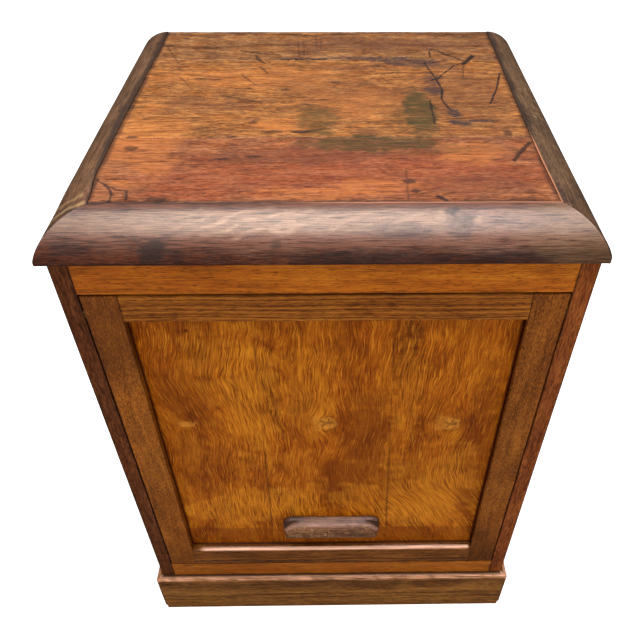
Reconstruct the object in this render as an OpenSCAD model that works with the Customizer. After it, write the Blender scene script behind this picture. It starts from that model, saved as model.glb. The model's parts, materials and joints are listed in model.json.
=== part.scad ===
/* [Carcass] */
// Width across the outer faces of the two sides
carcass_w = 420; // [390:5:460]
// Depth from the front edges of the sides to the back of the back boards
carcass_d = 387; // [343:4:431]
// Height of the carcass between the plinth and the top
carcass_h = 486; // [440:2:540]
// Thickness of the side frames
side_t = 15; // [15:0.5:18]
// Width of the four stiles of the side frames
side_stile_w = 50; // [46:1:60]
// Height of the top rails of the side frames
side_top_rail_h = 50; // [44:1:60]
// Height of the bottom rails of the side frames
side_bottom_rail_h = 60; // [54:1:80]
// Thickness of the panels in the side frames
side_panel_t = 6; // [5:0.5:7]
// Depth, front to back, of the rails that join the two sides
rail_d = 22; // [20:1:26]
// Height of the rails under the top
top_rail_h = 32.5; // [30:0.5:40]
// Height of the rails on the plinth
bottom_rail_h = 26.5; // [24:0.5:32]
// Thickness of the back boards
back_t = 10; // [8:1:12]
// Thickness of the bottom boards
bottom_t = 12; // [10:0.5:13]

/* [Top] */
// Thickness of the bullnose border
border_t = 31.5; // [30:0.5:36]
// Width of the border from its outer edge to the top boards
border_w = 39; // [37:0.5:44]
// Overhang of the border past the carcass
border_out = 8; // [5:1:11]
// Thickness of the top boards
top_board_t = 22; // [20:1:24]
// Share of the field's depth taken by the front board
front_board_share = 0.29; // [0.25:0.01:0.4]
// Share of the field's depth taken by the back board
back_board_share = 0.23; // [0.2:0.01:0.4]

/* [Plinth] */
// Height of the plinth
plinth_h = 72; // [60:1:90]
// Thickness of the plinth boards
plinth_t = 26; // [24:1:30]
// Projection of the plinth past the carcass
plinth_out = 8; // [5:1:10]
// Radius of the plinth's upright front corners
plinth_corner_r = 4; // [4:0.5:12]
// Radius of the plinth's upper outer edge
plinth_edge_r = 4; // [2:0.5:6]

/* [Door] */
// Gap between the door and each side
door_side_gap = 1.3; // [1.1:0.1:2.5]
// Gap between the door and the rail above it
door_top_gap = 1.8; // [1.7:0.1:2.5]
// Gap between the door and the rail below it
door_bottom_gap = 1; // [0.5:0.1:2]
// Thickness of the door frame
door_t = 22; // [20:0.5:24]
// Width of the door stiles
door_stile_w = 29; // [28:0.5:40]
// Height of the door's top rail
door_top_rail_h = 27.5; // [26:0.5:40]
// Height of the door's bottom rail
door_bottom_rail_h = 31.5; // [26:0.5:45]
// Thickness of the door panel
door_panel_t = 8; // [7:0.5:9]
// Depth of the panel's face behind the frame's face
door_panel_recess = 8.5; // [7.5:0.5:9]
// Width of the panel's middle board at its upper end
middle_board_top_w = 119; // [115:1:130]
// Width of the panel's middle board at its lower end
middle_board_low_w = 133; // [124:1:140]
// Offset of the middle board to the right of the door's middle
middle_board_shift = -2.75; // [-2.75:0.25:2.75]
// Radius worn on the upper edge of the bottom rail
door_rail_edge_r = 4; // [2:0.5:5]

/* [Pivot] */
// Distance of the pivot behind the door's face
pivot_back = 8; // [7.5:0.1:8.2]
// Distance of the pivot below the door's top edge
pivot_down = 20; // [19:0.5:22]
// Diameter of the pivot pins
pin_d = 6; // [5:0.5:6]
// Radial running clearance of a pin in its bush
pin_clearance = 0.05; // [0.02:0.01:0.1]

/* [Pull] */
// Width of the finger pull
pull_w = 110; // [100:1:112]
// Height of the finger pull
pull_h = 22.5; // [22:0.5:28]
// Projection of the pull from the panel
pull_out = 15; // [13:0.5:16]
// Height of the pull's lower edge above the door's lower edge
pull_up = 66.5; // [50:0.5:120]

/* [Hidden] */
$fn = 96;

// Colours of the timber and the metal.
dark_wood = [0.27, 0.16, 0.11];
red_wood = [0.55, 0.26, 0.12];
brown_wood = [0.42, 0.25, 0.14];
golden_wood = [0.66, 0.38, 0.13];
pine_wood = [0.55, 0.40, 0.24];
brass = [0.72, 0.58, 0.30];
iron = [0.30, 0.29, 0.28];

// Fits: clearance round a tenon, room left at the end of a groove, and a small overshoot for cuts.
slack = 0.1;
groove_room = 1;
groove_depth = 9;
past = 0.5;

// Main planes of the carcass. Z is up, the door faces -Y.
half_w = carcass_w / 2;
side_in = half_w - side_t;
y_back = (carcass_d + max(border_out, plinth_out)) / 2;
y_front = y_back - carcass_d;
z_plinth = plinth_h;
z_floor = z_plinth + bottom_rail_h;
z_top = z_plinth + carcass_h;
front_rail_y = [y_front, y_front + rail_d];
back_rail_y = [y_back - back_t - rail_d, y_back - back_t];
top_rail_z = [z_top - top_rail_h, z_top];
bottom_rail_z = [z_plinth, z_floor];

// Side frames: the inner edges of the frame, and the plane that holds grooves and tenons.
side_open_y = [y_front + side_stile_w, y_back - side_stile_w];
side_open_z = [z_plinth + side_bottom_rail_h, z_top - side_top_rail_h];
side_mid = [side_in + (side_t - side_panel_t) / 2, side_in + (side_t + side_panel_t) / 2];
side_tenon = 22;
side_haunch = 10;
back_rebate = 8;

// Rails across the carcass: stub tenons in the sides.
stub = 10;
stub_inset = 6;
stub_shoulder = 4;

// Cupboard bottom and stops.
bearer_w = 16;
stop_w = 12;
stop_h = 370;
stop_clear = 0.2;

// Top.
field_half = half_w + border_out - border_w;
field_y = [y_front - border_out + border_w, y_back];
field_d = field_y[1] - field_y[0];
front_join = field_y[0] + front_board_share * field_d;
back_join = field_y[1] - back_board_share * field_d;
z_lid = z_top + border_t;
z_board = z_lid - top_board_t;
tongue_t = 8;
tongue_l = 8;
tongue_z = [z_board + 7, z_board + 7 + tongue_t];
border_corner_r = 6;
border_arris_r = 6;
batten_x = [100, 140];

// Door.
door_half = side_in - door_side_gap;
door_z = [z_floor + door_bottom_gap, z_top - top_rail_h - door_top_gap];
door_y = [y_front, y_front + door_t];
door_open_half = door_half - door_stile_w;
door_open_z = [door_z[0] + door_bottom_rail_h, door_z[1] - door_top_rail_h];
door_mid = [y_front + door_panel_recess, y_front + door_panel_recess + door_panel_t];
door_tenon = 17;
door_haunch = 6;
pull_z = door_z[0] + pull_up;

// Pivot.
pivot_y = y_front + pivot_back;
pivot_z = door_z[1] - pivot_down;
pin_in_door = 10;
bush_l = 10;
bush_r = 5;
bush_flange_r = 7.5;
bush_flange_t = 0.8;

// Screws and nails.
screw_d = 4.5;
screw_head_d = 8.5;
screw_l = 40;
small_screw_d = 3.5;
small_screw_head_d = 7;
small_screw_l = 25;
pull_screw_l = 16;
screw_x = 120;
counterbore_d = 10;
nail_d = 2;
nail_head_d = 4;
nail_head_t = 1;
nail_l = 22;
nail_edge = 15;

// Points of the top screws, the plinth screws and the battens' screws.
top_screw_y = [y_front + 11, back_rail_y[0] + 11];
top_screw_z = z_top - 20;
plinth_screw_y = [y_front + 9, back_rail_y[1] - 8];
plinth_screw_z = plinth_h - 25;
board_mid_y = [
    (field_y[0] + front_join) / 2,
    (front_join + back_join) / 2,
    (back_join + back_rail_y[0]) / 2
];
bearer_screw_y = [-120, 0, 120];
bottom_nail_y = [-140, -30, 30, 140];
back_x = side_in + back_rebate - slack;
back_join_x = back_x / 3;
back_lap = 8;
back_nail_z = [z_top - top_rail_h / 2, z_plinth + bottom_rail_h / 2];
back_nail_x = [nail_edge - back_x, -back_join_x - nail_edge, nail_edge - back_join_x];

function grow(range, by) = [range[0] - by, range[1] + by];
function mid(range) = (range[0] + range[1]) / 2;

// A box between two planes along each axis.
module span(x, y, z) {
    translate([x[0], y[0], z[0]])
        cube([x[1] - x[0], y[1] - y[0], z[1] - z[0]]);
}

// Places a part drawn for the right-hand side on either side.
module on_side(side) {
    mirror([side < 0 ? 1 : 0, 0, 0])
        children();
}

// Slotted countersunk wood screw along +Z, its head's flat at z = 0.
module screw_body(length, shank_d, head_d) {
    head_h = (head_d - shank_d) / 2;
    tip = shank_d * 1.2;
    cylinder(h = head_h, d1 = head_d, d2 = shank_d);
    cylinder(h = length - tip, d = shank_d);
    translate([0, 0, length - tip])
        cylinder(h = tip, d1 = shank_d, d2 = shank_d * 0.25);
}

module screw(length, shank_d, head_d) {
    slot_w = head_d * 0.14;
    slot_h = head_d * 0.16;
    color(iron)
        difference() {
            screw_body(length, shank_d, head_d);
            translate([-head_d, -slot_w / 2, -past])
                cube([2 * head_d, slot_w, slot_h + past]);
        }
}

// Hole for a screw, with a counterbore of the given depth below its head.
module screw_hole(length, shank_d, head_d, bore_d = 0, bore = 0) {
    screw_body(length, shank_d, head_d);
    if (bore > 0)
        translate([0, 0, -bore - past])
            cylinder(h = bore + past, d = bore_d);
}

// Flat-headed nail along -Z, its head's flat at z = 0.
module nail_body(length) {
    translate([0, 0, -nail_head_t])
        cylinder(h = nail_head_t, d = nail_head_d);
    translate([0, 0, -length])
        cylinder(h = length - nail_head_t / 2, d = nail_d);
}

module at_top_screws() {
    for (x = [-screw_x, screw_x], y = top_screw_y)
        translate([x, y, top_screw_z])
            children();
}

module at_plinth_screws() {
    for (x = [-screw_x, screw_x], y = plinth_screw_y)
        translate([x, y, plinth_screw_z])
            children();
}

module at_batten_screws() {
    for (side = [-1, 1], y = board_mid_y)
        translate([side * mid(batten_x), y, z_top])
            children();
}

module at_bearer_screws() {
    for (side = [-1, 1], y = bearer_screw_y)
        on_side(side)
            translate([side_in - bearer_w, y, mid([z_plinth, z_floor - bottom_t])])
                rotate([0, 90, 0])
                    children();
}

module at_back_nails() {
    for (side = [-1, 1], x = back_nail_x, z = back_nail_z)
        translate([side * x, y_back, z])
            rotate([-90, 0, 0])
                children();
}

module at_bottom_nails() {
    for (side = [-1, 1], y = bottom_nail_y)
        translate([side * (side_in - bearer_w / 2), y, z_floor])
            children();
}

module at_pull_screws() {
    for (x = [-pull_w * 0.3, pull_w * 0.3])
        translate([x, door_mid[1] - slack, pull_z + pull_h * 0.62])
            rotate([90, 0, 0])
                children();
}

module top_screws() {
    at_top_screws()
        screw(screw_l, screw_d, screw_head_d);
}

module plinth_screws() {
    at_plinth_screws()
        screw(screw_l, screw_d, screw_head_d);
}

module batten_screws() {
    at_batten_screws()
        screw(small_screw_l, small_screw_d, small_screw_head_d);
}

module bearer_screws() {
    at_bearer_screws()
        screw(small_screw_l, small_screw_d, small_screw_head_d);
}

module pull_screws() {
    at_pull_screws()
        screw(pull_screw_l, small_screw_d, small_screw_head_d);
}

module back_nails() {
    color(iron)
        at_back_nails()
            nail_body(nail_l);
}

module bottom_nails() {
    color(iron)
        at_bottom_nails()
            nail_body(nail_l);
}

module plinth_screw_holes() {
    at_plinth_screws()
        screw_hole(screw_l, screw_d, screw_head_d, counterbore_d, plinth_screw_z);
}

module top_screw_holes() {
    at_top_screws()
        screw_hole(screw_l, screw_d, screw_head_d, counterbore_d, top_screw_z - top_rail_z[0]);
}

module batten_screw_holes() {
    at_batten_screws()
        screw_hole(small_screw_l, small_screw_d, small_screw_head_d);
}

module bearer_screw_holes() {
    at_bearer_screws()
        screw_hole(small_screw_l, small_screw_d, small_screw_head_d);
}

module pull_screw_holes() {
    at_pull_screws()
        screw_hole(pull_screw_l, small_screw_d, small_screw_head_d);
}

// Room for the panel in a side frame, cut from all four members.
module side_groove() {
    span(side_mid, grow(side_open_y, groove_depth), grow(side_open_z, groove_depth));
}

// Stub tenon of a rail across the carcass, or its mortise with some slack.
module cross_tenon(y, z, loose = 0) {
    span(
        [-side_in - stub - loose, side_in + stub + loose],
        grow([y[0] + stub_inset, y[1] - stub_inset], loose),
        grow([z[0] + stub_shoulder, z[1] - stub_shoulder], loose)
    );
}

module cross_mortises() {
    for (y = [front_rail_y, back_rail_y], z = [top_rail_z, bottom_rail_z])
        cross_tenon(y, z, slack);
}

module cross_rail(y, z, tint) {
    color(tint)
        difference() {
            union() {
                span([-side_in, side_in], y, z);
                cross_tenon(y, z);
            }
            top_screw_holes();
            plinth_screw_holes();
            at_back_nails()
                nail_body(nail_l);
        }
}

// Tenon of a side rail, running into both stiles.
module side_tenon(z, loose = 0) {
    span(
        grow(side_mid, loose),
        grow(side_open_y, side_tenon + loose),
        grow(z, loose)
    );
}

top_tenon_z = [side_open_z[1] + groove_depth, z_top - side_haunch];
low_tenon_z = [z_plinth + side_haunch, side_open_z[0] - groove_depth];

module side_stile(y) {
    difference() {
        span([side_in, half_w], y, [z_plinth, z_top]);
        side_groove();
        side_tenon(top_tenon_z, slack);
        side_tenon(low_tenon_z, slack);
        cross_mortises();
        children();
    }
}

module side_front_stile(side, tint) {
    color(tint)
        on_side(side)
            side_stile([y_front, side_open_y[0]])
                translate([side_in, pivot_y, pivot_z])
                    rotate([0, 90, 0])
                        cylinder(h = bush_l, r = bush_r);
}

module side_rear_stile(side) {
    color(brown_wood)
        on_side(side)
            side_stile([side_open_y[1], y_back])
                span(
                    [side_in - past, side_in + back_rebate],
                    [y_back - back_t, y_back + past],
                    [z_plinth - past, z_top + past]
                );
}

module side_rail(side, z, tenon_z) {
    color(brown_wood)
        on_side(side)
            difference() {
                union() {
                    span([side_in, half_w], side_open_y, z);
                    side_tenon(tenon_z);
                }
                side_groove();
                bearer_screw_holes();
            }
}

module side_top_rail(side) {
    side_rail(side, [side_open_z[1], z_top], top_tenon_z);
}

module side_bottom_rail(side) {
    side_rail(side, [z_plinth, side_open_z[0]], low_tenon_z);
}

module side_panel(side) {
    color(golden_wood)
        on_side(side)
            span(
                grow(side_mid, -slack),
                grow(side_open_y, groove_depth - groove_room),
                grow(side_open_z, groove_depth - groove_room)
            );
}

// The middle board lies inside, and the outer two lap over it from behind.
module outer_back_board(side) {
    color(brown_wood)
        on_side(side)
            difference() {
                span([back_join_x, back_x], [y_back - back_t, y_back], [z_plinth, z_top]);
                span(
                    [back_join_x - past, back_join_x + back_lap + slack],
                    [y_back - back_t - past, y_back - back_t / 2],
                    [z_plinth - past, z_top + past]
                );
                at_back_nails()
                    nail_body(nail_l);
            }
}

module middle_back_board() {
    color(brown_wood)
        difference() {
            union() {
                span(
                    [slack - back_join_x, back_join_x - slack],
                    [y_back - back_t, y_back],
                    [z_plinth, z_top]
                );
                span(
                    [-back_join_x - back_lap, back_join_x + back_lap],
                    [y_back - back_t, y_back - back_t / 2 - slack],
                    [z_plinth, z_top]
                );
            }
            at_back_nails()
                nail_body(nail_l);
        }
}

module bottom_board(y) {
    color(pine_wood)
        difference() {
            span([-side_in, side_in], y, [z_floor - bottom_t, z_floor]);
            at_bottom_nails()
                nail_body(nail_l);
        }
}

module bearer(side) {
    color(pine_wood)
        difference() {
            on_side(side)
                span(
                    [side_in - bearer_w, side_in],
                    [front_rail_y[1], back_rail_y[0]],
                    [z_plinth, z_floor - bottom_t]
                );
            at_bottom_nails()
                nail_body(nail_l);
            bearer_screw_holes();
        }
}

module door_stop(side) {
    color(pine_wood)
        on_side(side)
            span(
                [side_in - stop_w, side_in],
                [door_y[1] + stop_clear, door_y[1] + stop_clear + stop_w],
                [z_floor, z_floor + stop_h]
            );
}

module pivot_bush(side) {
    color(brass)
        on_side(side)
            translate([side_in, pivot_y, pivot_z])
                rotate([0, 90, 0])
                    difference() {
                        union() {
                            cylinder(h = bush_l, r = bush_r);
                            translate([0, 0, -bush_flange_t])
                                cylinder(h = bush_flange_t, r = bush_flange_r);
                        }
                        translate([0, 0, -bush_flange_t - past])
                            cylinder(
                                h = bush_l + bush_flange_t + 2 * past,
                                r = pin_d / 2 + pin_clearance
                            );
                    }
}

module pivot_pin(side) {
    pin_l = pin_in_door + door_side_gap + bush_l - 1;
    color(iron)
        on_side(side)
            translate([door_half - pin_in_door, pivot_y, pivot_z])
                rotate([0, 90, 0])
                    cylinder(h = pin_l, r = pin_d / 2);
}

// Plan of the top or the plinth: a rectangle with four rounded corners.
module rounded_plan(half, y, r) {
    translate([-half, y[0] + r])
        square([2 * half, y[1] - y[0] - 2 * r]);
    translate([r - half, y[0]])
        square([2 * (half - r), y[1] - y[0]]);
    for (x = [r - half, half - r], c = [y[0] + r, y[1] - r])
        translate([x, c])
            circle(r = r);
}

// Section of the border: a quarter round, tangent to the top boards, with a small round below.
module border_section() {
    rim = border_w - sqrt(border_w * border_w - pow(border_w - border_t, 2));
    difference() {
        intersection() {
            square([border_w, border_t]);
            translate([border_w, border_t - border_w])
                circle(r = border_w, $fn = 240);
        }
        difference() {
            translate([-past, -past])
                square([border_arris_r + rim + past, border_arris_r + past]);
            translate([border_arris_r + rim, border_arris_r])
                circle(r = border_arris_r);
        }
    }
}

// Section of the plinth boards: a rectangle with its upper outer edge rounded.
module plinth_section() {
    r = plinth_edge_r;
    square([plinth_t, plinth_h - r]);
    translate([r, 0])
        square([plinth_t - r, plinth_h]);
    translate([r, plinth_h - r])
        circle(r = r);
}

// Runs a section along the front edge, or along the left edge, of a plan.
module along_front(half, y0, z0) {
    translate([-half, y0, z0])
        rotate([90, 0, 90])
            linear_extrude(2 * half)
                children();
}

module along_left(half, y, z0) {
    translate([-half, y[1], z0])
        rotate([90, 0, 0])
            linear_extrude(y[1] - y[0])
                children();
}

// Plan of a front piece and of a left piece, mitred at 45 degrees where they meet.
module front_mitre(half, y0, w) {
    polygon([[-half, y0], [half, y0], [half - w, y0 + w], [w - half, y0 + w]]);
}

module left_mitre(half, y, w) {
    polygon([[-half, y[0]], [w - half, y[0] + w], [w - half, y[1]], [-half, y[1]]]);
}

top_half = half_w + border_out;
top_y = [y_front - border_out, y_back];

module border_front() {
    color(dark_wood)
        difference() {
            intersection() {
                along_front(top_half, top_y[0], z_top)
                    border_section();
                translate([0, 0, z_top])
                    linear_extrude(border_t)
                        intersection() {
                            front_mitre(top_half, top_y[0], border_w);
                            rounded_plan(top_half, top_y, border_corner_r);
                        }
            }
            span([-field_half, field_half], [field_y[0] - tongue_l, field_y[0] + past], tongue_z);
            top_screw_holes();
        }
}

module border_side(side) {
    color(dark_wood)
        on_side(-side)
            difference() {
                intersection() {
                    along_left(top_half, top_y, z_top)
                        border_section();
                    translate([0, 0, z_top])
                        linear_extrude(border_t)
                            intersection() {
                                left_mitre(top_half, top_y, border_w);
                                rounded_plan(top_half, top_y, border_corner_r);
                            }
                }
                span(
                    [-field_half - tongue_l, -field_half + past],
                    [field_y[0], y_back + past],
                    tongue_z
                );
            }
}

// Top board with a tongue in each side border; front_tongue also runs one into the front border.
module top_board(y, tint, front_tongue = 0) {
    tongue = tongue_l - groove_room;
    color(tint)
        difference() {
            union() {
                span([-field_half, field_half], y, [z_board, z_lid]);
                span([-field_half - tongue, field_half + tongue], y, grow(tongue_z, -slack));
                if (front_tongue > 0)
                    span(
                        [-field_half, field_half],
                        [y[0] - tongue, y[0]],
                        grow(tongue_z, -slack)
                    );
            }
            top_screw_holes();
            batten_screw_holes();
        }
}

module top_batten(side) {
    color(pine_wood)
        difference() {
            on_side(side)
                span(batten_x, [field_y[0], back_rail_y[0]], [z_top, z_board]);
            batten_screw_holes();
        }
}

module top_back_strip() {
    color(brown_wood)
        difference() {
            span([-field_half, field_half], [back_rail_y[0], y_back], [z_top, z_board]);
            top_screw_holes();
        }
}

plinth_half = half_w + plinth_out;
plinth_y = [y_front - plinth_out, y_back];

// Plan of the plinth with rounded front corners and square back ones.
module plinth_plan() {
    rounded_plan(plinth_half, [plinth_y[0], mid(plinth_y) + plinth_corner_r], plinth_corner_r);
    translate([-plinth_half, mid(plinth_y) - plinth_corner_r])
        square([2 * plinth_half, plinth_y[1] - mid(plinth_y) + plinth_corner_r]);
}

module plinth_front() {
    color(brown_wood)
        difference() {
            intersection() {
                along_front(plinth_half, plinth_y[0], 0)
                    plinth_section();
                linear_extrude(plinth_h)
                    intersection() {
                        front_mitre(plinth_half, plinth_y[0], plinth_t);
                        plinth_plan();
                    }
            }
            plinth_screw_holes();
        }
}

module plinth_side(side) {
    color(brown_wood)
        on_side(-side)
            intersection() {
                along_left(plinth_half, plinth_y, 0)
                    plinth_section();
                linear_extrude(plinth_h)
                    intersection() {
                        left_mitre(plinth_half, plinth_y, plinth_t);
                        plinth_plan();
                    }
            }
}

module plinth_back() {
    color(brown_wood)
        difference() {
            span(
                [plinth_t - plinth_half, plinth_half - plinth_t],
                [y_back - plinth_t, y_back],
                [0, plinth_h]
            );
            plinth_screw_holes();
        }
}

// Triangular glue blocks in the four inner corners of the plinth.
module plinth_blocks() {
    leg = 28;
    inset = 6;
    inner_y = [plinth_y[0] + plinth_t, y_back - plinth_t];
    color(pine_wood)
        for (side = [-1, 1], corner = [[inner_y[0], 1], [inner_y[1], -1]])
            on_side(side)
                translate([plinth_half - plinth_t, corner[0], inset])
                    linear_extrude(plinth_h - 2 * inset)
                        polygon([[0, 0], [-leg, 0], [0, corner[1] * leg]]);
}

// Room for the panel in the door frame, cut from all four members.
module door_groove() {
    span(
        [-door_open_half - groove_depth, door_open_half + groove_depth],
        door_mid,
        grow(door_open_z, groove_depth)
    );
}

// Tenon of a door rail, running into both stiles.
module door_tenon_box(z, loose = 0) {
    span(
        [-door_open_half - door_tenon - loose, door_open_half + door_tenon + loose],
        grow(door_mid, loose),
        grow(z, loose)
    );
}

door_top_tenon_z = [door_open_z[1] + groove_depth, door_z[1] - door_haunch];
door_low_tenon_z = [door_z[0] + door_haunch, door_open_z[0] - groove_depth];

module door_stile(side) {
    color(brown_wood)
        on_side(side)
            difference() {
                span([door_open_half, door_half], door_y, door_z);
                door_groove();
                door_tenon_box(door_top_tenon_z, slack);
                door_tenon_box(door_low_tenon_z, slack);
                translate([door_half - pin_in_door, pivot_y, pivot_z])
                    rotate([0, 90, 0])
                        cylinder(h = pin_in_door + past, r = pin_d / 2);
            }
}

module door_rail(z, tenon_z) {
    difference() {
        union() {
            span([-door_open_half, door_open_half], door_y, z);
            door_tenon_box(tenon_z);
        }
        door_groove();
        children();
    }
}

module door_top_rail() {
    color(brown_wood)
        door_rail([door_open_z[1], door_z[1]], door_top_tenon_z);
}

module door_bottom_rail() {
    r = door_rail_edge_r;
    color(brown_wood)
        door_rail([door_z[0], door_open_z[0]], door_low_tenon_z)
            along_front(door_open_half, door_y[0], door_open_z[0] - r)
                difference() {
                    translate([-past, 0])
                        square([r + past, r + past]);
                    translate([r, 0])
                        circle(r = r);
                }
}

// Join between the middle board and the board on the given side, at height z, measured towards
// that side. The two joins lean outwards going down.
function join_x(z, side) =
    side * middle_board_shift + middle_board_low_w / 2
    + (middle_board_top_w - middle_board_low_w) / 2
    * (z - door_open_z[0]) / (door_open_z[1] - door_open_z[0]);

door_panel_z = grow(door_open_z, groove_depth - groove_room);

module panel_board(points, tint) {
    color(tint)
        difference() {
            translate([0, door_mid[1] - slack, 0])
                rotate([90, 0, 0])
                    linear_extrude(door_panel_t - 2 * slack)
                        polygon(points);
            pull_screw_holes();
        }
}

module door_board_middle() {
    panel_board([
        [-join_x(door_panel_z[0], -1), door_panel_z[0]],
        [join_x(door_panel_z[0], 1), door_panel_z[0]],
        [join_x(door_panel_z[1], 1), door_panel_z[1]],
        [-join_x(door_panel_z[1], -1), door_panel_z[1]]
    ], golden_wood);
}

module door_board_outer(side) {
    edge = door_open_half + groove_depth - groove_room;
    on_side(side)
        panel_board([
            [join_x(door_panel_z[0], side), door_panel_z[0]],
            [edge, door_panel_z[0]],
            [edge, door_panel_z[1]],
            [join_x(door_panel_z[1], side), door_panel_z[1]]
        ], golden_wood);
}

// Finger pull: a back plate with two rounded corners, and a half-moon swell hollowed from below.
module door_pull() {
    plate_t = 5;
    plate_r = 10;
    swell_r = pull_h - 2;
    swell_half = pull_w / 2 - 1 - swell_r;
    section_r = 2 * pull_out;
    scoop_r = 9;
    scoop_half = pull_w / 2 - 10;
    face_y = door_mid[0] + slack;
    color(dark_wood)
        difference() {
            union() {
                translate([0, face_y, pull_z])
                    rotate([90, 0, 0])
                        linear_extrude(plate_t) {
                            translate([-pull_w / 2, 0])
                                square([pull_w, pull_h - plate_r]);
                            translate([plate_r - pull_w / 2, 0])
                                square([pull_w - 2 * plate_r, pull_h]);
                            for (x = [plate_r - pull_w / 2, pull_w / 2 - plate_r])
                                translate([x, pull_h - plate_r])
                                    circle(r = plate_r);
                        }
                intersection() {
                    translate([0, face_y, pull_z])
                        rotate([90, 0, 0])
                            linear_extrude(pull_out)
                                intersection() {
                                    translate([-pull_w / 2, 0])
                                        square([pull_w, pull_h]);
                                    union() {
                                        translate([-swell_half, 0])
                                            square([2 * swell_half, swell_r]);
                                        for (x = [-swell_half, swell_half])
                                            translate([x, 0])
                                                circle(r = swell_r);
                                    }
                                }
                    translate([-pull_w / 2, face_y - pull_out + section_r, pull_z])
                        rotate([0, 90, 0])
                            cylinder(h = pull_w, r = section_r);
                }
            }
            translate([-scoop_half, face_y - 2, pull_z])
                rotate([0, 90, 0])
                    cylinder(h = 2 * scoop_half, r = scoop_r);
            pull_screw_holes();
        }
}

side_front_stile(-1, dark_wood);  // side_front_stile_left
side_rear_stile(-1);  // side_rear_stile_left
side_top_rail(-1);  // side_top_rail_left
side_bottom_rail(-1);  // side_bottom_rail_left
side_panel(-1);  // side_panel_left
side_front_stile(1, red_wood);  // side_front_stile_right
side_rear_stile(1);  // side_rear_stile_right
side_top_rail(1);  // side_top_rail_right
side_bottom_rail(1);  // side_bottom_rail_right
side_panel(1);  // side_panel_right
cross_rail(front_rail_y, top_rail_z, golden_wood);  // front_top_rail
cross_rail(front_rail_y, bottom_rail_z, golden_wood);  // front_bottom_rail
cross_rail(back_rail_y, top_rail_z, pine_wood);  // back_top_rail
cross_rail(back_rail_y, bottom_rail_z, pine_wood);  // back_bottom_rail
outer_back_board(-1);  // back_board_left
middle_back_board();  // back_board_middle
outer_back_board(1);  // back_board_right
back_nails();
bottom_board([front_rail_y[1], 0]);  // bottom_board_front
bottom_board([0, back_rail_y[0]]);  // bottom_board_back
bottom_nails();
bearer(-1);  // bearer_left
bearer(1);  // bearer_right
bearer_screws();
door_stop(-1);  // door_stop_left
door_stop(1);  // door_stop_right
pivot_bush(-1);  // pivot_bush_left
pivot_bush(1);  // pivot_bush_right
top_board([field_y[0], front_join], red_wood, 1);  // top_board_front
top_board([front_join, back_join], golden_wood);  // top_board_middle
top_board([back_join, field_y[1]], brown_wood);  // top_board_back
border_front();
border_side(-1);  // border_left
border_side(1);  // border_right
top_batten(-1);  // top_batten_left
top_batten(1);  // top_batten_right
top_back_strip();
batten_screws();
top_screws();
plinth_front();
plinth_side(-1);  // plinth_left
plinth_side(1);  // plinth_right
plinth_back();
plinth_blocks();
plinth_screws();
door_stile(-1);  // door_stile_left
door_stile(1);  // door_stile_right
door_top_rail();
door_bottom_rail();
door_board_outer(-1);  // door_board_left
door_board_middle();
door_board_outer(1);  // door_board_right
door_pull();
pull_screws();
pivot_pin(-1);  // pivot_pin_left
pivot_pin(1);  // pivot_pin_right
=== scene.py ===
"""Looks for a lift-front pedestal cabinet of old waxed hardwood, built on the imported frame."""
import json
import math

import bmesh
import bpy
import numpy as np
from mathutils import Matrix, Vector

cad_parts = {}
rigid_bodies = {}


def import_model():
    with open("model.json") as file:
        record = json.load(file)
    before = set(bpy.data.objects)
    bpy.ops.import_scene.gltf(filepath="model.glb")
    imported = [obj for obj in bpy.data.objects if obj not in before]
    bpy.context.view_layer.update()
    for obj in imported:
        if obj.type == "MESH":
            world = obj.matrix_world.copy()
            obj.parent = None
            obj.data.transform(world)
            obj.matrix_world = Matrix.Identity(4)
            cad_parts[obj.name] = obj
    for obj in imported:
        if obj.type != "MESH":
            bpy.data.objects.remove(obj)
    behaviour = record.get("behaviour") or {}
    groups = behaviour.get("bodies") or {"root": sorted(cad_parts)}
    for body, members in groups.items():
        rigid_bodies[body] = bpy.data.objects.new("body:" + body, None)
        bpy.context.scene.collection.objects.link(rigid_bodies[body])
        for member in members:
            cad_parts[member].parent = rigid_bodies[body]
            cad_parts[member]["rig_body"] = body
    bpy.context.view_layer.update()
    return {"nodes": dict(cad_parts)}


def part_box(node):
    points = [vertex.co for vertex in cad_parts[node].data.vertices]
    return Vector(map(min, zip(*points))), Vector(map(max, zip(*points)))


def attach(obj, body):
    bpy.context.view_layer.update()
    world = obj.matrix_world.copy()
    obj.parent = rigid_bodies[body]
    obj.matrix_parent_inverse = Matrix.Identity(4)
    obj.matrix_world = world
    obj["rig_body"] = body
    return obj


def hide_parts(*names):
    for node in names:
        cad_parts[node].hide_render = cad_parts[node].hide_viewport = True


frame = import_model()

MM = 0.001
AXES = {"x": 0, "y": 1, "z": 2}


# ---------------------------------------------------------------- the frame in millimetres

def box(node):
    """Lowest and highest corner of a CAD node, in millimetres."""
    low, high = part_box(node)
    return np.array(low) / MM, np.array(high) / MM


FRONT_BORDER = box("border_front")
LEFT_BORDER = box("border_left")
PANEL_LEFT = box("door_board_left")
DOOR_STILE = box("door_stile_right")
DOOR_TOP = box("door_top_rail")
DOOR_LOW = box("door_bottom_rail")
PULL = box("door_pull")
PLINTH_FRONT = box("plinth_front")
PLINTH_LEFT = box("plinth_left")

LID_Z = FRONT_BORDER[1][2]          # level of the top
FRONT_Y = PLINTH_FRONT[0][1]        # foremost face of the plinth and of the border
FIELD_HALF = -LEFT_BORDER[1][0]     # the field of top boards that the border encloses
FIELD_FRONT = FRONT_BORDER[1][1]
FIELD_BACK = LEFT_BORDER[1][1]
OPEN_HALF = DOOR_STILE[0][0]        # the opening in the door's frame, where the panel shows
OPEN_LOW = DOOR_LOW[1][2]
OPEN_HIGH = DOOR_TOP[0][2]
PANEL_Y = PANEL_LEFT[0][1]          # face of the panel


# ---------------------------------------------------------------- numbers with a seed

LATTICE = 128      # steps after which the noise repeats
FAR_AWAY = 1e9


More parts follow.
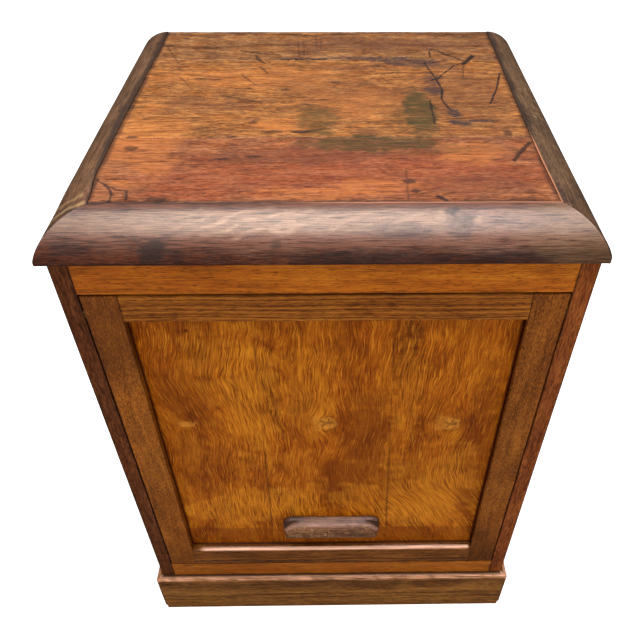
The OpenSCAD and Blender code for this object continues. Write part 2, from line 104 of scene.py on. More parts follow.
def value_noise(x, y, seed):
    """Smooth noise from 0 to 1 on a seeded lattice, one lattice step per unit."""
    grid = np.random.RandomState(seed).rand(LATTICE, LATTICE)
    x, y = np.broadcast_arrays(np.asarray(x, float), np.asarray(y, float))
    column, row = np.floor(x).astype(int), np.floor(y).astype(int)
    u, v = x - column, y - row
    u, v = u * u * (3 - 2 * u), v * v * (3 - 2 * v)
    c0, c1 = column % LATTICE, (column + 1) % LATTICE
    r0, r1 = row % LATTICE, (row + 1) % LATTICE
    low = grid[c0, r0] * (1 - u) + grid[c1, r0] * u
    high = grid[c0, r1] * (1 - u) + grid[c1, r1] * u
    return low * (1 - v) + high * v


def rough_noise(x, y, seed, octaves=4):
    """Value noise summed over octaves, from 0 to 1."""
    total, weight = 0, 0
    for octave in range(octaves):
        share = 0.5 ** octave
        total = total + share * value_noise(x * 2 ** octave, y * 2 ** octave, seed + octave)
        weight += share
    return total / weight


def smooth(value, low, high):
    """0 below low, 1 above high, and a smooth rise between them."""
    t = np.clip((value - low) / (high - low), 0, 1)
    return t * t * (3 - 2 * t)


def line_distance(x, y, points):
    """Distance of each place from a chain of straight lines."""
    best = np.full(np.shape(x), FAR_AWAY)
    for (ax, ay), (bx, by) in zip(points[:-1], points[1:]):
        dx, dy = bx - ax, by - ay
        t = np.clip(((x - ax) * dx + (y - ay) * dy) / (dx * dx + dy * dy), 0, 1)
        best = np.minimum(best, np.hypot(x - ax - t * dx, y - ay - t * dy))
    return best


def stroke(x, y, points, width, seed=1, shake=1.2):
    """A drawn line with an uneven edge: 1 on the line, 0 beyond its width.
    shake is how far the line wanders from its points."""
    wander = shake * (value_noise(x / 7, y / 7, seed) - 0.5) * 2
    turn = shake * (value_noise(x / 7 + 40, y / 7, seed) - 0.5) * 2
    distance = line_distance(x + wander, y + turn, points)
    uneven = 0.55 + 0.9 * value_noise(x / 3, y / 3, seed + 7)
    return 1 - smooth(distance / (width * uneven), 0.35, 1.0)


def patch(x, y, centre, size, seed=1, ragged=0.5, soft=0.35, turn=0):
    """A blot with a ragged edge: 1 in its middle, 0 outside its two half sizes.
    ragged is how uneven the edge is, soft how wide it fades, and turn its angle in degrees."""
    c, s = math.cos(math.radians(turn)), math.sin(math.radians(turn))
    dx, dy = x - centre[0], y - centre[1]
    u, v = (dx * c + dy * s) / size[0], (dy * c - dx * s) / size[1]
    span = min(size)
    edge = (rough_noise(x / (span * 0.6), y / (span * 0.35), seed) - 0.5) * 2 * ragged
    return 1 - smooth(np.hypot(u, v) + edge, 1 - soft, 1 + soft)


def blots(x, y, rows):
    """The strongest of several blots at each place. A row is a strength, then what patch takes."""
    best = 0 * x
    for strength, *shape in rows:
        best = np.maximum(best, strength * patch(x, y, *shape))
    return best


# ---------------------------------------------------------------- meshes

# An edge that turns more than this, in degrees, is shaded as a sharp one.
BOARD_CREASE = 60
MOULDING_CREASE = 50
PULL_CREASE = 55
MEMBER_CREASE = 35


def finish_mesh(name, points, faces, crease):
    """A mesh from points in millimetres, with outward normals and smooth shading up to a crease."""
    mesh = bpy.data.meshes.new(name)
    mesh.from_pydata((np.asarray(points) * MM).tolist(), [], faces)
    bm = bmesh.new()
    bm.from_mesh(mesh)
    bmesh.ops.recalc_face_normals(bm, faces=bm.faces)
    bm.to_mesh(mesh)
    bm.free()
    mesh.shade_smooth()
    mesh.set_sharp_from_angle(angle=math.radians(crease))
    return mesh


def read_points(mesh, key):
    """Three values stored at each of the mesh's points."""
    values = np.empty(len(mesh.vertices) * 3)
    mesh.vertices.foreach_get(key, values)
    return values.reshape(-1, 3)


def mesh_points(mesh):
    """The mesh's points, in millimetres."""
    return read_points(mesh, "co") / MM


def mesh_normals(mesh):
    return read_points(mesh, "normal")


def press_in(mesh, points, normals, bite):
    """Moves each point against its normal by its own bite."""
    mesh.vertices.foreach_set("co", ((points - normals * bite[:, None]) * MM).astype(np.float32).ravel())
    mesh.update()


def paint(mesh, name, values, kind="FLOAT", key="value"):
    """Stores values at the mesh's points, for a material to read; points past them get zero."""
    flat = np.zeros(len(mesh.vertices) * (3 if kind == "FLOAT_VECTOR" else 1), np.float32)
    values = np.asarray(values, np.float32).ravel()
    flat[:values.size] = values
    mesh.attributes.new(name, kind, "POINT").data.foreach_set(key, flat)


def paint_all(mesh, masks):
    """Stores each mask under its name."""
    for name, values in masks.items():
        paint(mesh, name, values)


def loft(name, rings, crease):
    """A closed skin over rings of points, with a cap at each end."""
    rings = np.asarray(rings)
    count, around = rings.shape[:2]
    faces = []
    for i in range(count - 1):
        for j in range(around):
            k = (j + 1) % around
            faces.append((i * around + j, i * around + k, (i + 1) * around + k, (i + 1) * around + j))
    faces.append(tuple(range(around)))
    faces.append(tuple(range(count * around - 1, (count - 1) * around - 1, -1)))
    return finish_mesh(name, rings.reshape(-1, 3), faces, crease)


def slab(name, surface, axis, level):
    """A closed board: a grid of points for its worn face, and its outline again at a level of an axis."""
    rows, columns = surface.shape[:2]
    index = np.arange(rows * columns).reshape(rows, columns)
    quads = np.stack([index[:-1, :-1], index[1:, :-1], index[1:, 1:], index[:-1, 1:]], -1)
    rim = np.concatenate([index[0, :-1], index[:-1, -1], index[-1, :0:-1], index[:0:-1, 0]])
    points = surface.reshape(-1, 3)
    far = points[rim]
    far[:, AXES[axis]] = level
    first, total = rows * columns, len(rim)
    faces = quads.reshape(-1, 4).tolist()
    for i in range(total):
        k = (i + 1) % total
        faces.append((int(rim[i]), int(rim[k]), first + k, first + i))
    faces.append(tuple(range(first, first + total)))
    return finish_mesh(name, np.vstack([points, far]), faces, BOARD_CREASE)


LONG_EDGE = 9.0                    # shorter edges keep their sharp arris
SHARP_TURN = math.radians(40)      # smaller turns between two faces aren't arrises
WELD = 0.02                        # points nearer than this are one
FLAT_TURN = math.radians(0.6)      # faces that turn less than this are merged


def add_rows(bm, axis, places):
    """Cuts the mesh across an axis, for more rows of points."""
    normal = Vector((0, 0, 0))
    normal[AXES[axis]] = 1
    for place in places:
        bmesh.ops.bisect_plane(
            bm, geom=bm.verts[:] + bm.edges[:] + bm.faces[:], dist=0.001 * MM,
            plane_co=normal * float(place) * MM, plane_no=normal,
        )


def worn_copy(node, axis, arris, step, wear, seed, depths):
    """The CAD node's own shape with softened and unevenly worn arrises.
    depths are places along Y where the mesh gets one more row of points."""
    bm = bmesh.new()
    bm.from_mesh(frame["nodes"][node].data)
    bmesh.ops.remove_doubles(bm, verts=bm.verts, dist=WELD * MM)
    bmesh.ops.dissolve_limit(bm, angle_limit=FLAT_TURN, verts=bm.verts, edges=bm.edges)
    arrises = [
        edge for edge in bm.edges
        if edge.is_manifold and edge.is_convex and edge.calc_length() > LONG_EDGE * MM
        and edge.calc_face_angle() > SHARP_TURN
    ]
    bmesh.ops.bevel(
        bm, geom=arrises, offset=arris * MM, offset_type="OFFSET", segments=2, profile=0.6,
        affect="EDGES", clamp_overlap=True,
    )
    low, high = box(node)
    add_rows(bm, axis, np.arange(low[AXES[axis]] + step / 2, high[AXES[axis]], step))
    add_rows(bm, "y", depths)
    mesh = bpy.data.meshes.new(node + "_worn")
    bm.to_mesh(mesh)
    bm.free()
    mesh.shade_smooth()
    erode(mesh, axis, wear, seed)
    mesh.set_sharp_from_angle(angle=math.radians(MEMBER_CREASE))
    return mesh


def erode(mesh, axis, wear, seed):
    """Moves points inwards: a little on flat faces, more on the arrises."""
    points, normals = mesh_points(mesh), mesh_normals(mesh)
    along = points[:, AXES[axis]]
    across = points.sum(1) - along
    corner = np.clip((1 - np.abs(normals).max(1)) / 0.29, 0, 1)   # 0.29 on an arris at 45 degrees
    slow = rough_noise(along / 23 + 5, across / 31, seed, 3)
    quick = value_noise(along / 5, across / 17, seed + 9)
    bite = wear * (0.12 * slow + corner * (0.6 * slow ** 2 + 0.7 * smooth(quick, 0.72, 1.0)))
    press_in(mesh, points, normals, bite)


# ---------------------------------------------------------------- shader nodes

def linear(colour):
    """An sRGB colour of three values up to 255, as linear light."""
    values = [channel / 255 for channel in colour]
    return [c / 12.92 if c <= 0.04045 else ((c + 0.055) / 1.055) ** 2.4 for c in values] + [1]


PORE_TONE = linear((38, 20, 10))
GRIME_TONE = linear((34, 18, 9))
RING_SPREAD = 45.0   # distance over which the rings wander, across the grain


class Graph:
    """A short way to write shader nodes: each call adds a node and returns its output."""

    def __init__(self, name):
        self.material = bpy.data.materials.new(name)
        self.material.use_nodes = True
        self.tree = self.material.node_tree
        self.shader = self.tree.nodes["Principled BSDF"]

    def node(self, kind, inputs=(), **settings):
        """A node with its settings, then its inputs as pairs of name or number and value."""
        made = self.tree.nodes.new(kind)
        for key, value in settings.items():
            setattr(made, key, value)
        for key, value in inputs:
            self.put(made.inputs[key], value)
        return made

    def put(self, socket, value):
        if isinstance(value, bpy.types.NodeSocket):
            self.tree.links.new(value, socket)
        else:
            socket.default_value = value

    def math(self, operation, *values, clamp=False):
        made = self.node("ShaderNodeMath", enumerate(values), operation=operation, use_clamp=clamp)
        return made.outputs[0]

    def add(self, a, b):
        return self.math("ADD", a, b)

    def times(self, a, b):
        return self.math("MULTIPLY", a, b)

    def centred(self, value, share):
        """A noise value about zero, scaled to a share."""
        return self.math("MULTIPLY_ADD", value, share, -0.5 * share)

    def stretch(self, vector, x, y, z):
        made = self.node("ShaderNodeVectorMath", enumerate((vector, (x, y, z))), operation="MULTIPLY")
        return made.outputs[0]

    def split(self, vector):
        return list(self.node("ShaderNodeSeparateXYZ", [(0, vector)]).outputs)

    def join(self, x, y, z):
        return self.node("ShaderNodeCombineXYZ", enumerate((x, y, z))).outputs[0]

    def noise(self, vector, detail=2.0, rough=0.5, distort=0.0, seed=0.0):
        inputs = (("Vector", vector), ("W", seed), ("Scale", 1.0), ("Detail", detail),
                  ("Roughness", rough), ("Distortion", distort))
        return self.node("ShaderNodeTexNoise", inputs, noise_dimensions="4D").outputs[0]

    def line_noise(self, place, detail=2.0, rough=0.5):
        inputs = (("W", place), ("Scale", 1.0), ("Detail", detail), ("Roughness", rough))
        return self.node("ShaderNodeTexNoise", inputs, noise_dimensions="1D").outputs[0]

    def step(self, value, low, high):
        """0 below low, 1 above high, and a smooth rise between them."""
        inputs = (("Value", value), ("From Min", low), ("From Max", high), ("To Min", 0.0), ("To Max", 1.0))
        return self.node("ShaderNodeMapRange", inputs, interpolation_type="SMOOTHSTEP").outputs[0]

    def mix(self, share, a, b, mode="MIX"):
        inputs = ((0, share), (6, a), (7, b))
        return self.node("ShaderNodeMix", inputs, data_type="RGBA", blend_type=mode).outputs[2]

    def ramp(self, value, stops):
        made = self.node("ShaderNodeValToRGB", [(0, value)])
        elements = made.color_ramp.elements
        while len(elements) < len(stops):
            elements.new(0.5)
        for element, (place, colour) in zip(elements, stops):
            element.position = place
            element.color = colour
        return made.outputs[0]

    def painted(self, name, output="Fac"):
        """A value stored on the mesh; the output is Fac for one number and Vector for three."""
        return self.node("ShaderNodeAttribute", attribute_name=name).outputs[output]

    def object_place(self):
        """The place in the row frame, in millimetres."""
        return self.stretch(self.node("ShaderNodeTexCoord").outputs["Object"], 1 / MM, 1 / MM, 1 / MM)

    def bump(self, height, distance):
        inputs = (("Strength", 1.0), ("Distance", distance * MM), ("Height", height))
        return self.node("ShaderNodeBump", inputs).outputs[0]

    def surface(self, colour, rough, **others):
        """Fills the material's shader; an underscore in a name stands for a space."""
        for name, value in {"Base_Color": colour, "Roughness": rough, **others}.items():
            self.put(self.shader.inputs[name.replace("_", " ")], value)
        return self.material


WOOD = {
    "mapped": False,       # read the grain from the mesh's "grain" vector
    "ring_gap": 4.0,       # width of one growth ring
    "ring": 0.9,           # share of the rings in the colour
    "ring_wave": 14.0,     # how far the rings wander
    "ring_length": 160.0,  # length over which they wander
    "pith": (60.0, 25.0),  # centre of the rings beside and behind the piece's middle
    "fibre": 1.1,          # share of the long streaks
    "fibre_size": (46.0, 1.5),
    "fine": 1.9,           # share of the fine fibres
    "fine_size": (8.0, 1.1),
    "blotch": 1.0,         # share of the cloudy patches
    "blotch_size": (60.0, 22.0),
    "hair": 0.4,           # darkness of the long hairlines
    "hair_size": (80.0, 1.4),
    "glint": 0.3,          # paleness of the short bright fibres
    "glint_size": (18.0, 1.1),
    "glint_tone": None,    # colour of the bright fibres, if not the light tone
    "pore": 0.5,           # darkness of the pores
    "pore_size": (7.0, 0.8),
    "edge": 2.6,           # width of the dirt along the edges
    "edge_share": 0.75,
    "warm": (1.0, 0.86, 0.62),   # tint of the warmer clouds
    "warm_share": 0.35,
    "warm_size": (70.0, 26.0),
    "rough": 0.46,
    "rough_swing": 0.3,
    "specular": 0.07,
    "coat": 0.0,
    "coat_rough": 0.3,
    "bump": 0.22,
    "layers": (),          # painted layers: name, colour, strength, share of fibre that shows through
    "rough_layers": (),    # painted layers that change the roughness: name, change
}


def grain_order(axis, span):
    """Which of X, Y and Z run along the fibres, across them, and into the piece's thickness."""
    along, across, depth = {"x": (0, 2, 1), "y": (1, 2, 0), "z": (2, 0, 1)}[axis]
    if span is not None and span[1][depth] - span[0][depth] > span[1][across] - span[0][across]:
        across, depth = depth, across
    return along, across, depth


def wood(name, tones, axis="x", seed=0, span=None, **changes):
    """Waxed timber: rings, streaks, pores, clouds, dirt along the edges and painted layers.
    tones are the dark, middle and light colours; span is the piece's visible box."""
    look = {**WOOD, **changes}
    g = Graph(name)
    place = g.object_place()
    middle = (0.0, 0.0)
    if look["mapped"]:
        grain = g.painted("grain", "Vector")
        across, depth = g.split(grain)[1:]
    else:
        order = grain_order(axis, span)
        parts = g.split(place)
        across, depth = parts[order[1]], parts[order[2]]
        grain = g.join(parts[order[0]], across, depth)
        if span is not None:
            centre = (np.asarray(span[0]) + np.asarray(span[1])) / 2
            middle = (float(centre[order[1]]), float(centre[order[2]]))

    bend = g.stretch(grain, 1 / look["ring_length"], 1 / RING_SPREAD, 1 / RING_SPREAD)
    wander = g.centred(g.noise(bend, 2, 0.5, 0, seed), 2 * look["ring_wave"])
    side = g.add(g.add(across, wander), -middle[0] - look["pith"][0])
    behind = g.add(depth, -middle[1] - look["pith"][1])
    radius = g.math("SQRT", g.add(g.times(side, side), g.times(behind, behind)))
    ring = g.line_noise(g.math("MULTIPLY_ADD", radius, 1 / look["ring_gap"], seed * 13.7), 2.0, 0.65)

    def streaks(kind, detail, number, rough=0.6, distort=0.25):
        """Noise drawn out along the grain, to the length and width of one kind of mark."""
        long, wide = look[kind + "_size"]
        return g.noise(g.stretch(grain, 1 / long, 1 / wide, 1 / wide), detail, rough, distort, seed + number)

    fibre = streaks("fibre", 4, 20.0)
    fine = streaks("fine", 2, 40.0)
    blotch = streaks("blotch", 3, 60.0, 0.55, 0.6)
    pores = g.step(streaks("pore", 1, 80.0), 0.6, 0.68)
    warm = g.step(streaks("warm", 2, 90.0, 0.5, 0.4), 0.42, 0.66)
    hair = g.step(streaks("hair", 2, 110.0), 0.58, 0.64)
    glint = g.step(streaks("glint", 1, 140.0), 0.58, 0.68)

    tone = g.add(0.5, g.centred(ring, look["ring"]))
    tone = g.add(tone, g.centred(fibre, look["fibre"]))
    tone = g.add(tone, g.centred(fine, look["fine"]))
    tone = g.math("ADD", tone, g.centred(blotch, look["blotch"]), clamp=True)
    dark, mid, light = (linear(colour) for colour in tones)
    colour = g.ramp(tone, [(0.0, dark), (0.5, mid), (1.0, light)])
    colour = g.mix(g.times(warm, look["warm_share"]), colour, [*look["warm"], 1], "MULTIPLY")
    bright = linear(look["glint_tone"]) if look["glint_tone"] else light
    for marks, kind, ink in ((hair, "hair", dark), (glint, "glint", bright), (pores, "pore", PORE_TONE)):
        colour = g.mix(g.times(marks, look[kind]), colour, ink)

    rough = g.math("MULTIPLY_ADD", g.centred(fibre, 1), look["rough_swing"], look["rough"])
    if span is not None and look["edge_share"] > 0:
        dirt_and_shade = edge_grime(g, place, span, look["edge"], seed)
        colour = g.mix(g.times(dirt_and_shade, look["edge_share"]), colour, GRIME_TONE)
        rough = g.add(rough, g.times(dirt_and_shade, 0.15))
    for layer, layer_colour, strength, through in look["layers"]:
        mask = g.times(g.painted(layer), strength)
        mask = g.math("ADD", mask, g.times(g.times(mask, g.centred(fibre, 4)), through), clamp=True)
        colour = g.mix(mask, colour, linear(layer_colour))
    for layer, change in look["rough_layers"]:
        rough = g.math("MULTIPLY_ADD", g.painted(layer), change, rough)

    height = g.add(g.times(fibre, 0.7), g.times(fine, 0.35))
    height = g.add(height, g.add(g.times(ring, 0.3), g.times(pores, -0.9)))
    return g.surface(
        colour, g.math("MINIMUM", g.math("MAXIMUM", rough, 0.12), 0.95), Normal=g.bump(height, look["bump"]),
        Specular_IOR_Level=look["specular"], Coat_Weight=look["coat"],
        Coat_Roughness=look["coat_rough"], Coat_IOR=1.5,
    )


def edge_grime(g, place, span, width, seed):
    """Grime that lies unevenly along the edges of a box-shaped piece."""
    gaps = []
    for part, low, high in zip(g.split(place), span[0], span[1]):
        centre, half = float(low + high) / 2, float(high - low) / 2
        gaps.append(g.math("SUBTRACT", half, g.math("ABSOLUTE", g.add(part, -centre))))
    a, b, c = gaps
    inner = g.math("MINIMUM", g.math("MAXIMUM", a, b), c)
    distance = g.math("MAXIMUM", g.math("MINIMUM", a, b), inner)
    cloud = g.noise(g.stretch(place, 0.06, 0.06, 0.06), 3, 0.6, 0, seed + 5.0)
    reach = g.math("MULTIPLY_ADD", cloud, 4.2 * width, -1.4 * width)
    near = g.math("SUBTRACT", 1.0, g.math("DIVIDE", distance, g.math("MAXIMUM", reach, 0.1)), clamp=True)
    return g.times(near, near)


def dress(mesh, node, slot, tones, axis, seed, span, **look):
    """Puts a finished mesh in a CAD node's place, on its body, with its own run of timber."""
    mesh.materials.append(wood(node + "_wood", tones, axis, seed, span, **look))
    piece = bpy.data.objects.new(node + "_worn", mesh)
    bpy.context.scene.collection.objects.link(piece)
    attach(piece, frame["nodes"][node]["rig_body"])
    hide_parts(node)
    return piece


# ---------------------------------------------------------------- colours of the timber

TOP_FRONT_TONES = ((56, 27, 17), (116, 68, 41), (162, 104, 66))
TOP_MIDDLE_TONES = ((60, 32, 14), (120, 75, 38), (176, 118, 60))
TOP_BACK_TONES = ((54, 30, 15), (109, 70, 40), (158, 112, 66))
BORDER_TONES = ((29, 9, 2), (58, 23, 7), (92, 44, 17))
SIDE_BORDER_TONES = {   # by side: -1 is left and 1 is right
    -1: ((42, 22, 11), (77, 46, 28), (108, 74, 49)),
    1: ((36, 21, 11), (68, 44, 27), (98, 70, 47)),
}
STILE_LEFT_TONES = ((40, 17, 5), (73, 36, 12), (103, 57, 24))
STILE_RIGHT_TONES = ((62, 26, 5), (104, 50, 14), (134, 74, 26))
RAIL_TONES = ((91, 41, 2), (141, 73, 5), (165, 99, 14))
LOW_RAIL_TONES = ((81, 39, 5), (128, 68, 12), (159, 97, 25))
DOOR_RAIL_TONES = ((60, 25, 2), (109, 58, 8), (138, 82, 18))
DOOR_LOW_RAIL_TONES = ((51, 25, 4), (89, 48, 9), (121, 72, 22))
DOOR_STILE_TONES = {
    "left": ((72, 36, 6), (113, 61, 10), (147, 87, 18)),
    "right": ((66, 32, 5), (104, 55, 9), (136, 80, 18)),
}
PANEL_TONES = ((82, 35, 1), (125, 62, 2), (156, 91, 12))
PLINTH_TONES = ((64, 35, 7), (106, 63, 17), (137, 91, 32))
PULL_TONES = ((48, 24, 9), (89, 53, 25), (127, 87, 48))
SIDE_TONES = ((54, 25, 6), (96, 49, 16), (127, 73, 30))
SIDE_PANEL_TONES = ((65, 29, 6), (112, 58, 16), (144, 83, 31))
BACK_TONES = ((58, 36, 20), (100, 66, 39), (129, 93, 60))
INNER_TONES = ((92, 62, 36), (146, 104, 66), (184, 140, 96))


# ---------------------------------------------------------------- outlines of the worn top

TOP_HALF = {-1: 217.9, 1: 215.0}   # reach of the border on the left and on the right
BULGE = 2.03                       # fullness of the bullnose: 2 is a quarter round
SEAM_BOW = 4.2                     # how far the left joint bows outwards behind the mitre
SEAM_STEP = 0.8                    # the same on the right, inwards
SEAM_SHIFT = {-1: 2.2, 1: 2.4}     # how far each joint moves to the right towards the back


def seam(side, y):
    """Where the top boards meet the side border: the hand-fitted joint isn't quite straight."""
    if side < 0:
        bow = smooth(y, FIELD_FRONT + 2, FIELD_FRONT + 46)
        return -FIELD_HALF - SEAM_BOW * bow + SEAM_SHIFT[side] * smooth(y, -60, 190)
    return FIELD_HALF - SEAM_STEP * smooth(y, -150, -90) + SEAM_SHIFT[side] * smooth(y, -60, 190)


# ---------------------------------------------------------------- top boards

GRID = 0.8                # gap between the points of a top board
TOP_HOLE = (-157, 177)    # an old nail hole

# Marks on the top, in the row frame's X and Y.
BACK_CRACK = [(-47, 119), (8, 121), (42, 122), (100, 126)]
WIDE_CRACK = [(-46, 119), (-2, 120.5)]
LOOP_LINE = [(109, 123), (109, 138), (113, 144), (118, 141), (125, 131), (136, 120), (144, 109),
             (131, 101), (121, 85), (110, 67), (98, 61)]
CROSS_LINE = [(101, 109), (105, 85), (109, 65), (112, 43), (109, 25), (111, 8), (115, -4)]
SCRATCHES = [   # depth of colour, width and line
    (0.85, 1.5, LOOP_LINE),
    (0.8, 1.6, CROSS_LINE),
    (0.95, 4.0, [(141, 105), (146, 112), (154, 126)]),
    (0.8, 1.6, [(175, 81), (165, 43), (154, 11)]),
    (0.35, 1.2, [(154, 11), (174, 13)]),
    (0.7, 3.0, [(174, -66), (155, -96)]),
    (0.45, 1.2, [(141, 105), (136, 69), (164, 67), (169, 61)]),
    (0.7, 3.0, [(86, -150), (93, -157)]),
    (0.4, 1.3, [(65, -109), (63, -157)]),
    (0.7, 1.6, [(97, 18), (97, -31)]),
    (0.35, 1.3, [(-33, 168), (-30, 125)]),
    (0.3, 1.3, [(-27, 170), (-25, 127)]),
    (0.3, 1.3, [(-14, 187), (-12, 145)]),
    (0.3, 1.3, [(-8, 182), (-7, 148)]),
    (0.6, 2.2, [(-93, 141), (-72, 134), (-51, 129)]),
    (0.6, 2.6, [(-76, 127), (-72, 116), (-65, 107)]),
    (0.5, 2.0, [(-66, 118), (-60, 108)]),
    (0.55, 2.0, [(-69, 96), (-60, 82)]),
    (0.5, 1.6, [(-86, 78), (-70, 53)]),
    (0.4, 1.5, [(-175, 154), (-154, 106)]),
    (0.35, 1.3, [(-146, 70), (-133, 47)]),
    (0.5, 2.4, [(-99, 29), (-83, 22), (-63, 15)]),
    (0.4, 1.4, [(60, 60), (52, 74), (66, 82)]),
]
CORNER_CRACKS = [
    [(-181, -124), (-170, -134), (-163, -146), (-163, -158)],
    [(-172, -133), (-160, -139), (-153, -142), (-151, -154)],
]
BLUE_LINES = [   # strength, width, seed, shake and line
    (0.85, 3.4, 16, 0.5, [(130, -25), (149, -25)]),
    (0.9, 6.5, 17, 1.0, [(113, -27), (126, -31)]),
]
# Small dark spots: X, Y and two half sizes.
SPOTS = [(-168, -54, 5, 3), (-164, -74, 6, 4), (-157, 177, 4, 2), (8, 60, 6, 2), (-40, 42, 5, 2),
         (159, -48, 4, 6), (66, -128, 5, 4), (-86, -92, 8, 2), (-4, 20, 5, 1.6), (-128, -154, 9, 4),
         (-77, 45, 4, 2), (-125, 68, 8, 2), (-111, 66, 6, 2), (-20, 10, 6, 1.6), (-66, -27, 4, 3),
         (-46, -44, 10, 3), (-22, -45, 9, 2.5), (70, -142, 4, 3), (-60, -88, 7, 2), (52, 100, 10, 2.5)]


# Blots on the top: strength, centre, half sizes, seed, raggedness, and where given softness and turn.
TOP_BLOTS = {
    "green": (
        (0.9, (86, -6), (15, 46), 11, 0.4, 0.25),
        (0.5, (70, -16), (14, 22), 12, 0.7),
        (0.8, (40, -66), (60, 15), 13, 0.35, 0.25),
        (0.6, (-8, -22), (18, 32), 14, 0.5),
        (0.4, (84, -78), (40, 8), 15, 0.6),
    ),
    "blue": (
        (0.85, (117, -9), (6, 10), 18, 0.6, 0.35, 20),
        (0.8, (103, 40), (11, 9), 19, 0.6, 0.35, -50),
        (0.55, (105, 66), (9, 14), 48, 0.7),
        (0.75, (84, 110), (42, 11), 49, 0.5, 0.35, -10),
    ),
    "orange": (
        (0.9, (-42, -34), (28, 12), 51, 0.5),
        (0.75, (-156, -60), (34, 60), 52, 0.7),
        (0.75, (122, -84), (28, 17), 53, 0.6),
        (0.6, (30, 10), (46, 30), 54, 0.6),
        (0.55, (-70, 70), (90, 22), 47, 0.7),
        (0.6, (-10, -146), (40, 8), 46, 0.7),
        (0.6, (40, -138), (34, 12), 45, 0.7),
    ),
    "red": (
        (0.7, (30, -112), (150, 38), 55, 0.5),
        (0.65, (-96, -132), (50, 22), 56, 0.5),
    ),
    "shade": (
        (0.75, (60, 160), (120, 22), 57, 0.6),
        (0.6, (130, 30), (44, 56), 58, 0.6),
        (0.6, (-110, 10), (44, 16), 59, 0.7),
        (0.65, (56, 38), (34, 9), 60, 0.7, 0.35, -10),
        (0.7, (36, -47), (14, 8), 44, 0.5),
        (0.6, (-20, -88), (64, 13), 43, 0.6),
        (0.6, (20, 94), (26, 10), 42, 0.6),
        (0.55, (120, -134), (44, 14), 61, 0.7),
        (0.4, (24, 20), (70, 50), 63, 0.8),
        (0.4, (146, -10), (40, 70), 64, 0.8),
    ),
}


def top_masks(x, y):
    """Painted layers of the top, as values at each place."""
    inks = [0 * x]
    for i, (strength, width, line) in enumerate(SCRATCHES):
        inks.append(min(1.2 * strength, 1) * stroke(x, y, line, 0.9 * width, 20 + i, 0.5))
    for i, line in enumerate(CORNER_CRACKS):
        inks.append(0.85 * stroke(x, y, line, 1.6, 60 + i, 1.0))
    inks.append(blots(x, y, [(0.7, spot[:2], spot[2:], 40 + i, 0.5) for i, spot in enumerate(SPOTS)]))
    clouds = smooth(value_noise(x / 50, y / 40, 72), 0.3, 0.7)
    inks.append(0.65 * smooth(value_noise(x / 5.5, y / 1.5, 71), 0.86, 0.98) * clouds)
    crack = stroke(x, y, BACK_CRACK, 2.2, 9, 0.4) * smooth(value_noise(x / 16, 0 * x, 10), 0.12, 0.35)
    crack = np.maximum(crack, 0.9 * stroke(x, y, WIDE_CRACK, 3.4, 12, 0.4))

    masks = {name: blots(x, y, rows) for name, rows in TOP_BLOTS.items()}
    for strength, width, seed, shake, line in BLUE_LINES:
        masks["blue"] = np.maximum(masks["blue"], strength * stroke(x, y, line, width, seed, shake))
    rim = np.minimum(x - seam(-1, y), seam(1, y) - x)
    rim = np.minimum(rim, np.minimum(y - FIELD_FRONT, FIELD_BACK - y))
    masks["dirt_and_shade"] = 1 - smooth(rim + 5 * (rough_noise(x / 20, y / 20, 62) - 0.5), 0.3, 5)
    masks["ink"] = np.maximum.reduce(inks + [crack])
    masks["crack"] = crack
    return masks


def top_depth(x, y, masks, edges):
    """How far the worn top lies below its flat plane."""
    depth = 0.12 + 0.28 * rough_noise(x / 85, y / 60, 81, 3) + 0.08 * rough_noise(x / 16, y / 1.8, 82, 3)
    depth = depth + 0.9 * masks["crack"] + 0.35 * masks["ink"]
    depth = depth + 0.3 * smooth(value_noise(x / 4.5, y / 4.0, 83), 0.93, 1.0)
    depth = depth + 2.0 * (1 - smooth(np.hypot(x - TOP_HOLE[0], y - TOP_HOLE[1]), 0.8, 2.2))
    chip = 0.5 + rough_noise(x / 9, y / 9, 84, 2)
    return depth + 0.55 * (1 - smooth(edges, 0.1, 1.1 * chip))


def top_board(node, seed, tones):
    """One board of the top: a worn sheet of fine relief with its painted marks."""
    low, high = box(node)
    front, rear = max(low[1], FIELD_FRONT), high[1]
    shares = np.linspace(0, 1, int(2 * FIELD_HALF / GRID) + 1)
    rows = np.linspace(front, rear, int((rear - front) / GRID) + 1)
    share, y = np.meshgrid(shares, rows)
    left, right = seam(-1, y), seam(1, y)
    x = left + (right - left) * share
    masks = top_masks(x, y)
    edges = np.minimum(np.minimum(y - front, rear - y), np.minimum(x - left, right - x))
    surface = np.stack([x, y, LID_Z - top_depth(x, y, masks, edges)], -1)
    mesh = slab(node + "_worn", surface, "z", low[2])
    paint_all(mesh, masks)
    return dress(
        mesh, node, "top_boards", tones, "x", seed, (np.array([-FIELD_HALF, front, low[2]]), high),
        ring_wave=26.0, ring_length=110.0, pith=(15.0, -22.0), fibre_size=(30.0, 1.5), fine=1.6,
        fine_size=(6.0, 1.0), glint=0.4, hair=0.3, hair_size=(26.0, 1.0), blotch=1.1,
        blotch_size=(28.0, 12.0), warm=(1.0, 0.8, 0.5), warm_share=0.8, warm_size=(26.0, 10.0), rough=0.5,
        specular=0.2, edge=1.6,
        layers=(
            ("red", (120, 46, 24), 0.5, 1.0),
            ("orange", (172, 102, 46), 0.5, 1.4),
            ("shade", (84, 50, 34), 0.6, 1.2),
            ("green", (52, 46, 20), 0.85, 1.0),
            ("blue", (40, 36, 40), 0.85, 0.5),
            ("dirt_and_shade", (46, 26, 16), 0.7, 0.6),
            ("ink", (26, 17, 14), 0.95, 0.1),
        ),
        rough_layers=(("green", 0.12), ("ink", 0.1)),
    )


# ---------------------------------------------------------------- mouldings

# A section is a closed outline of pairs, across from the outer face and up from the lowest face.

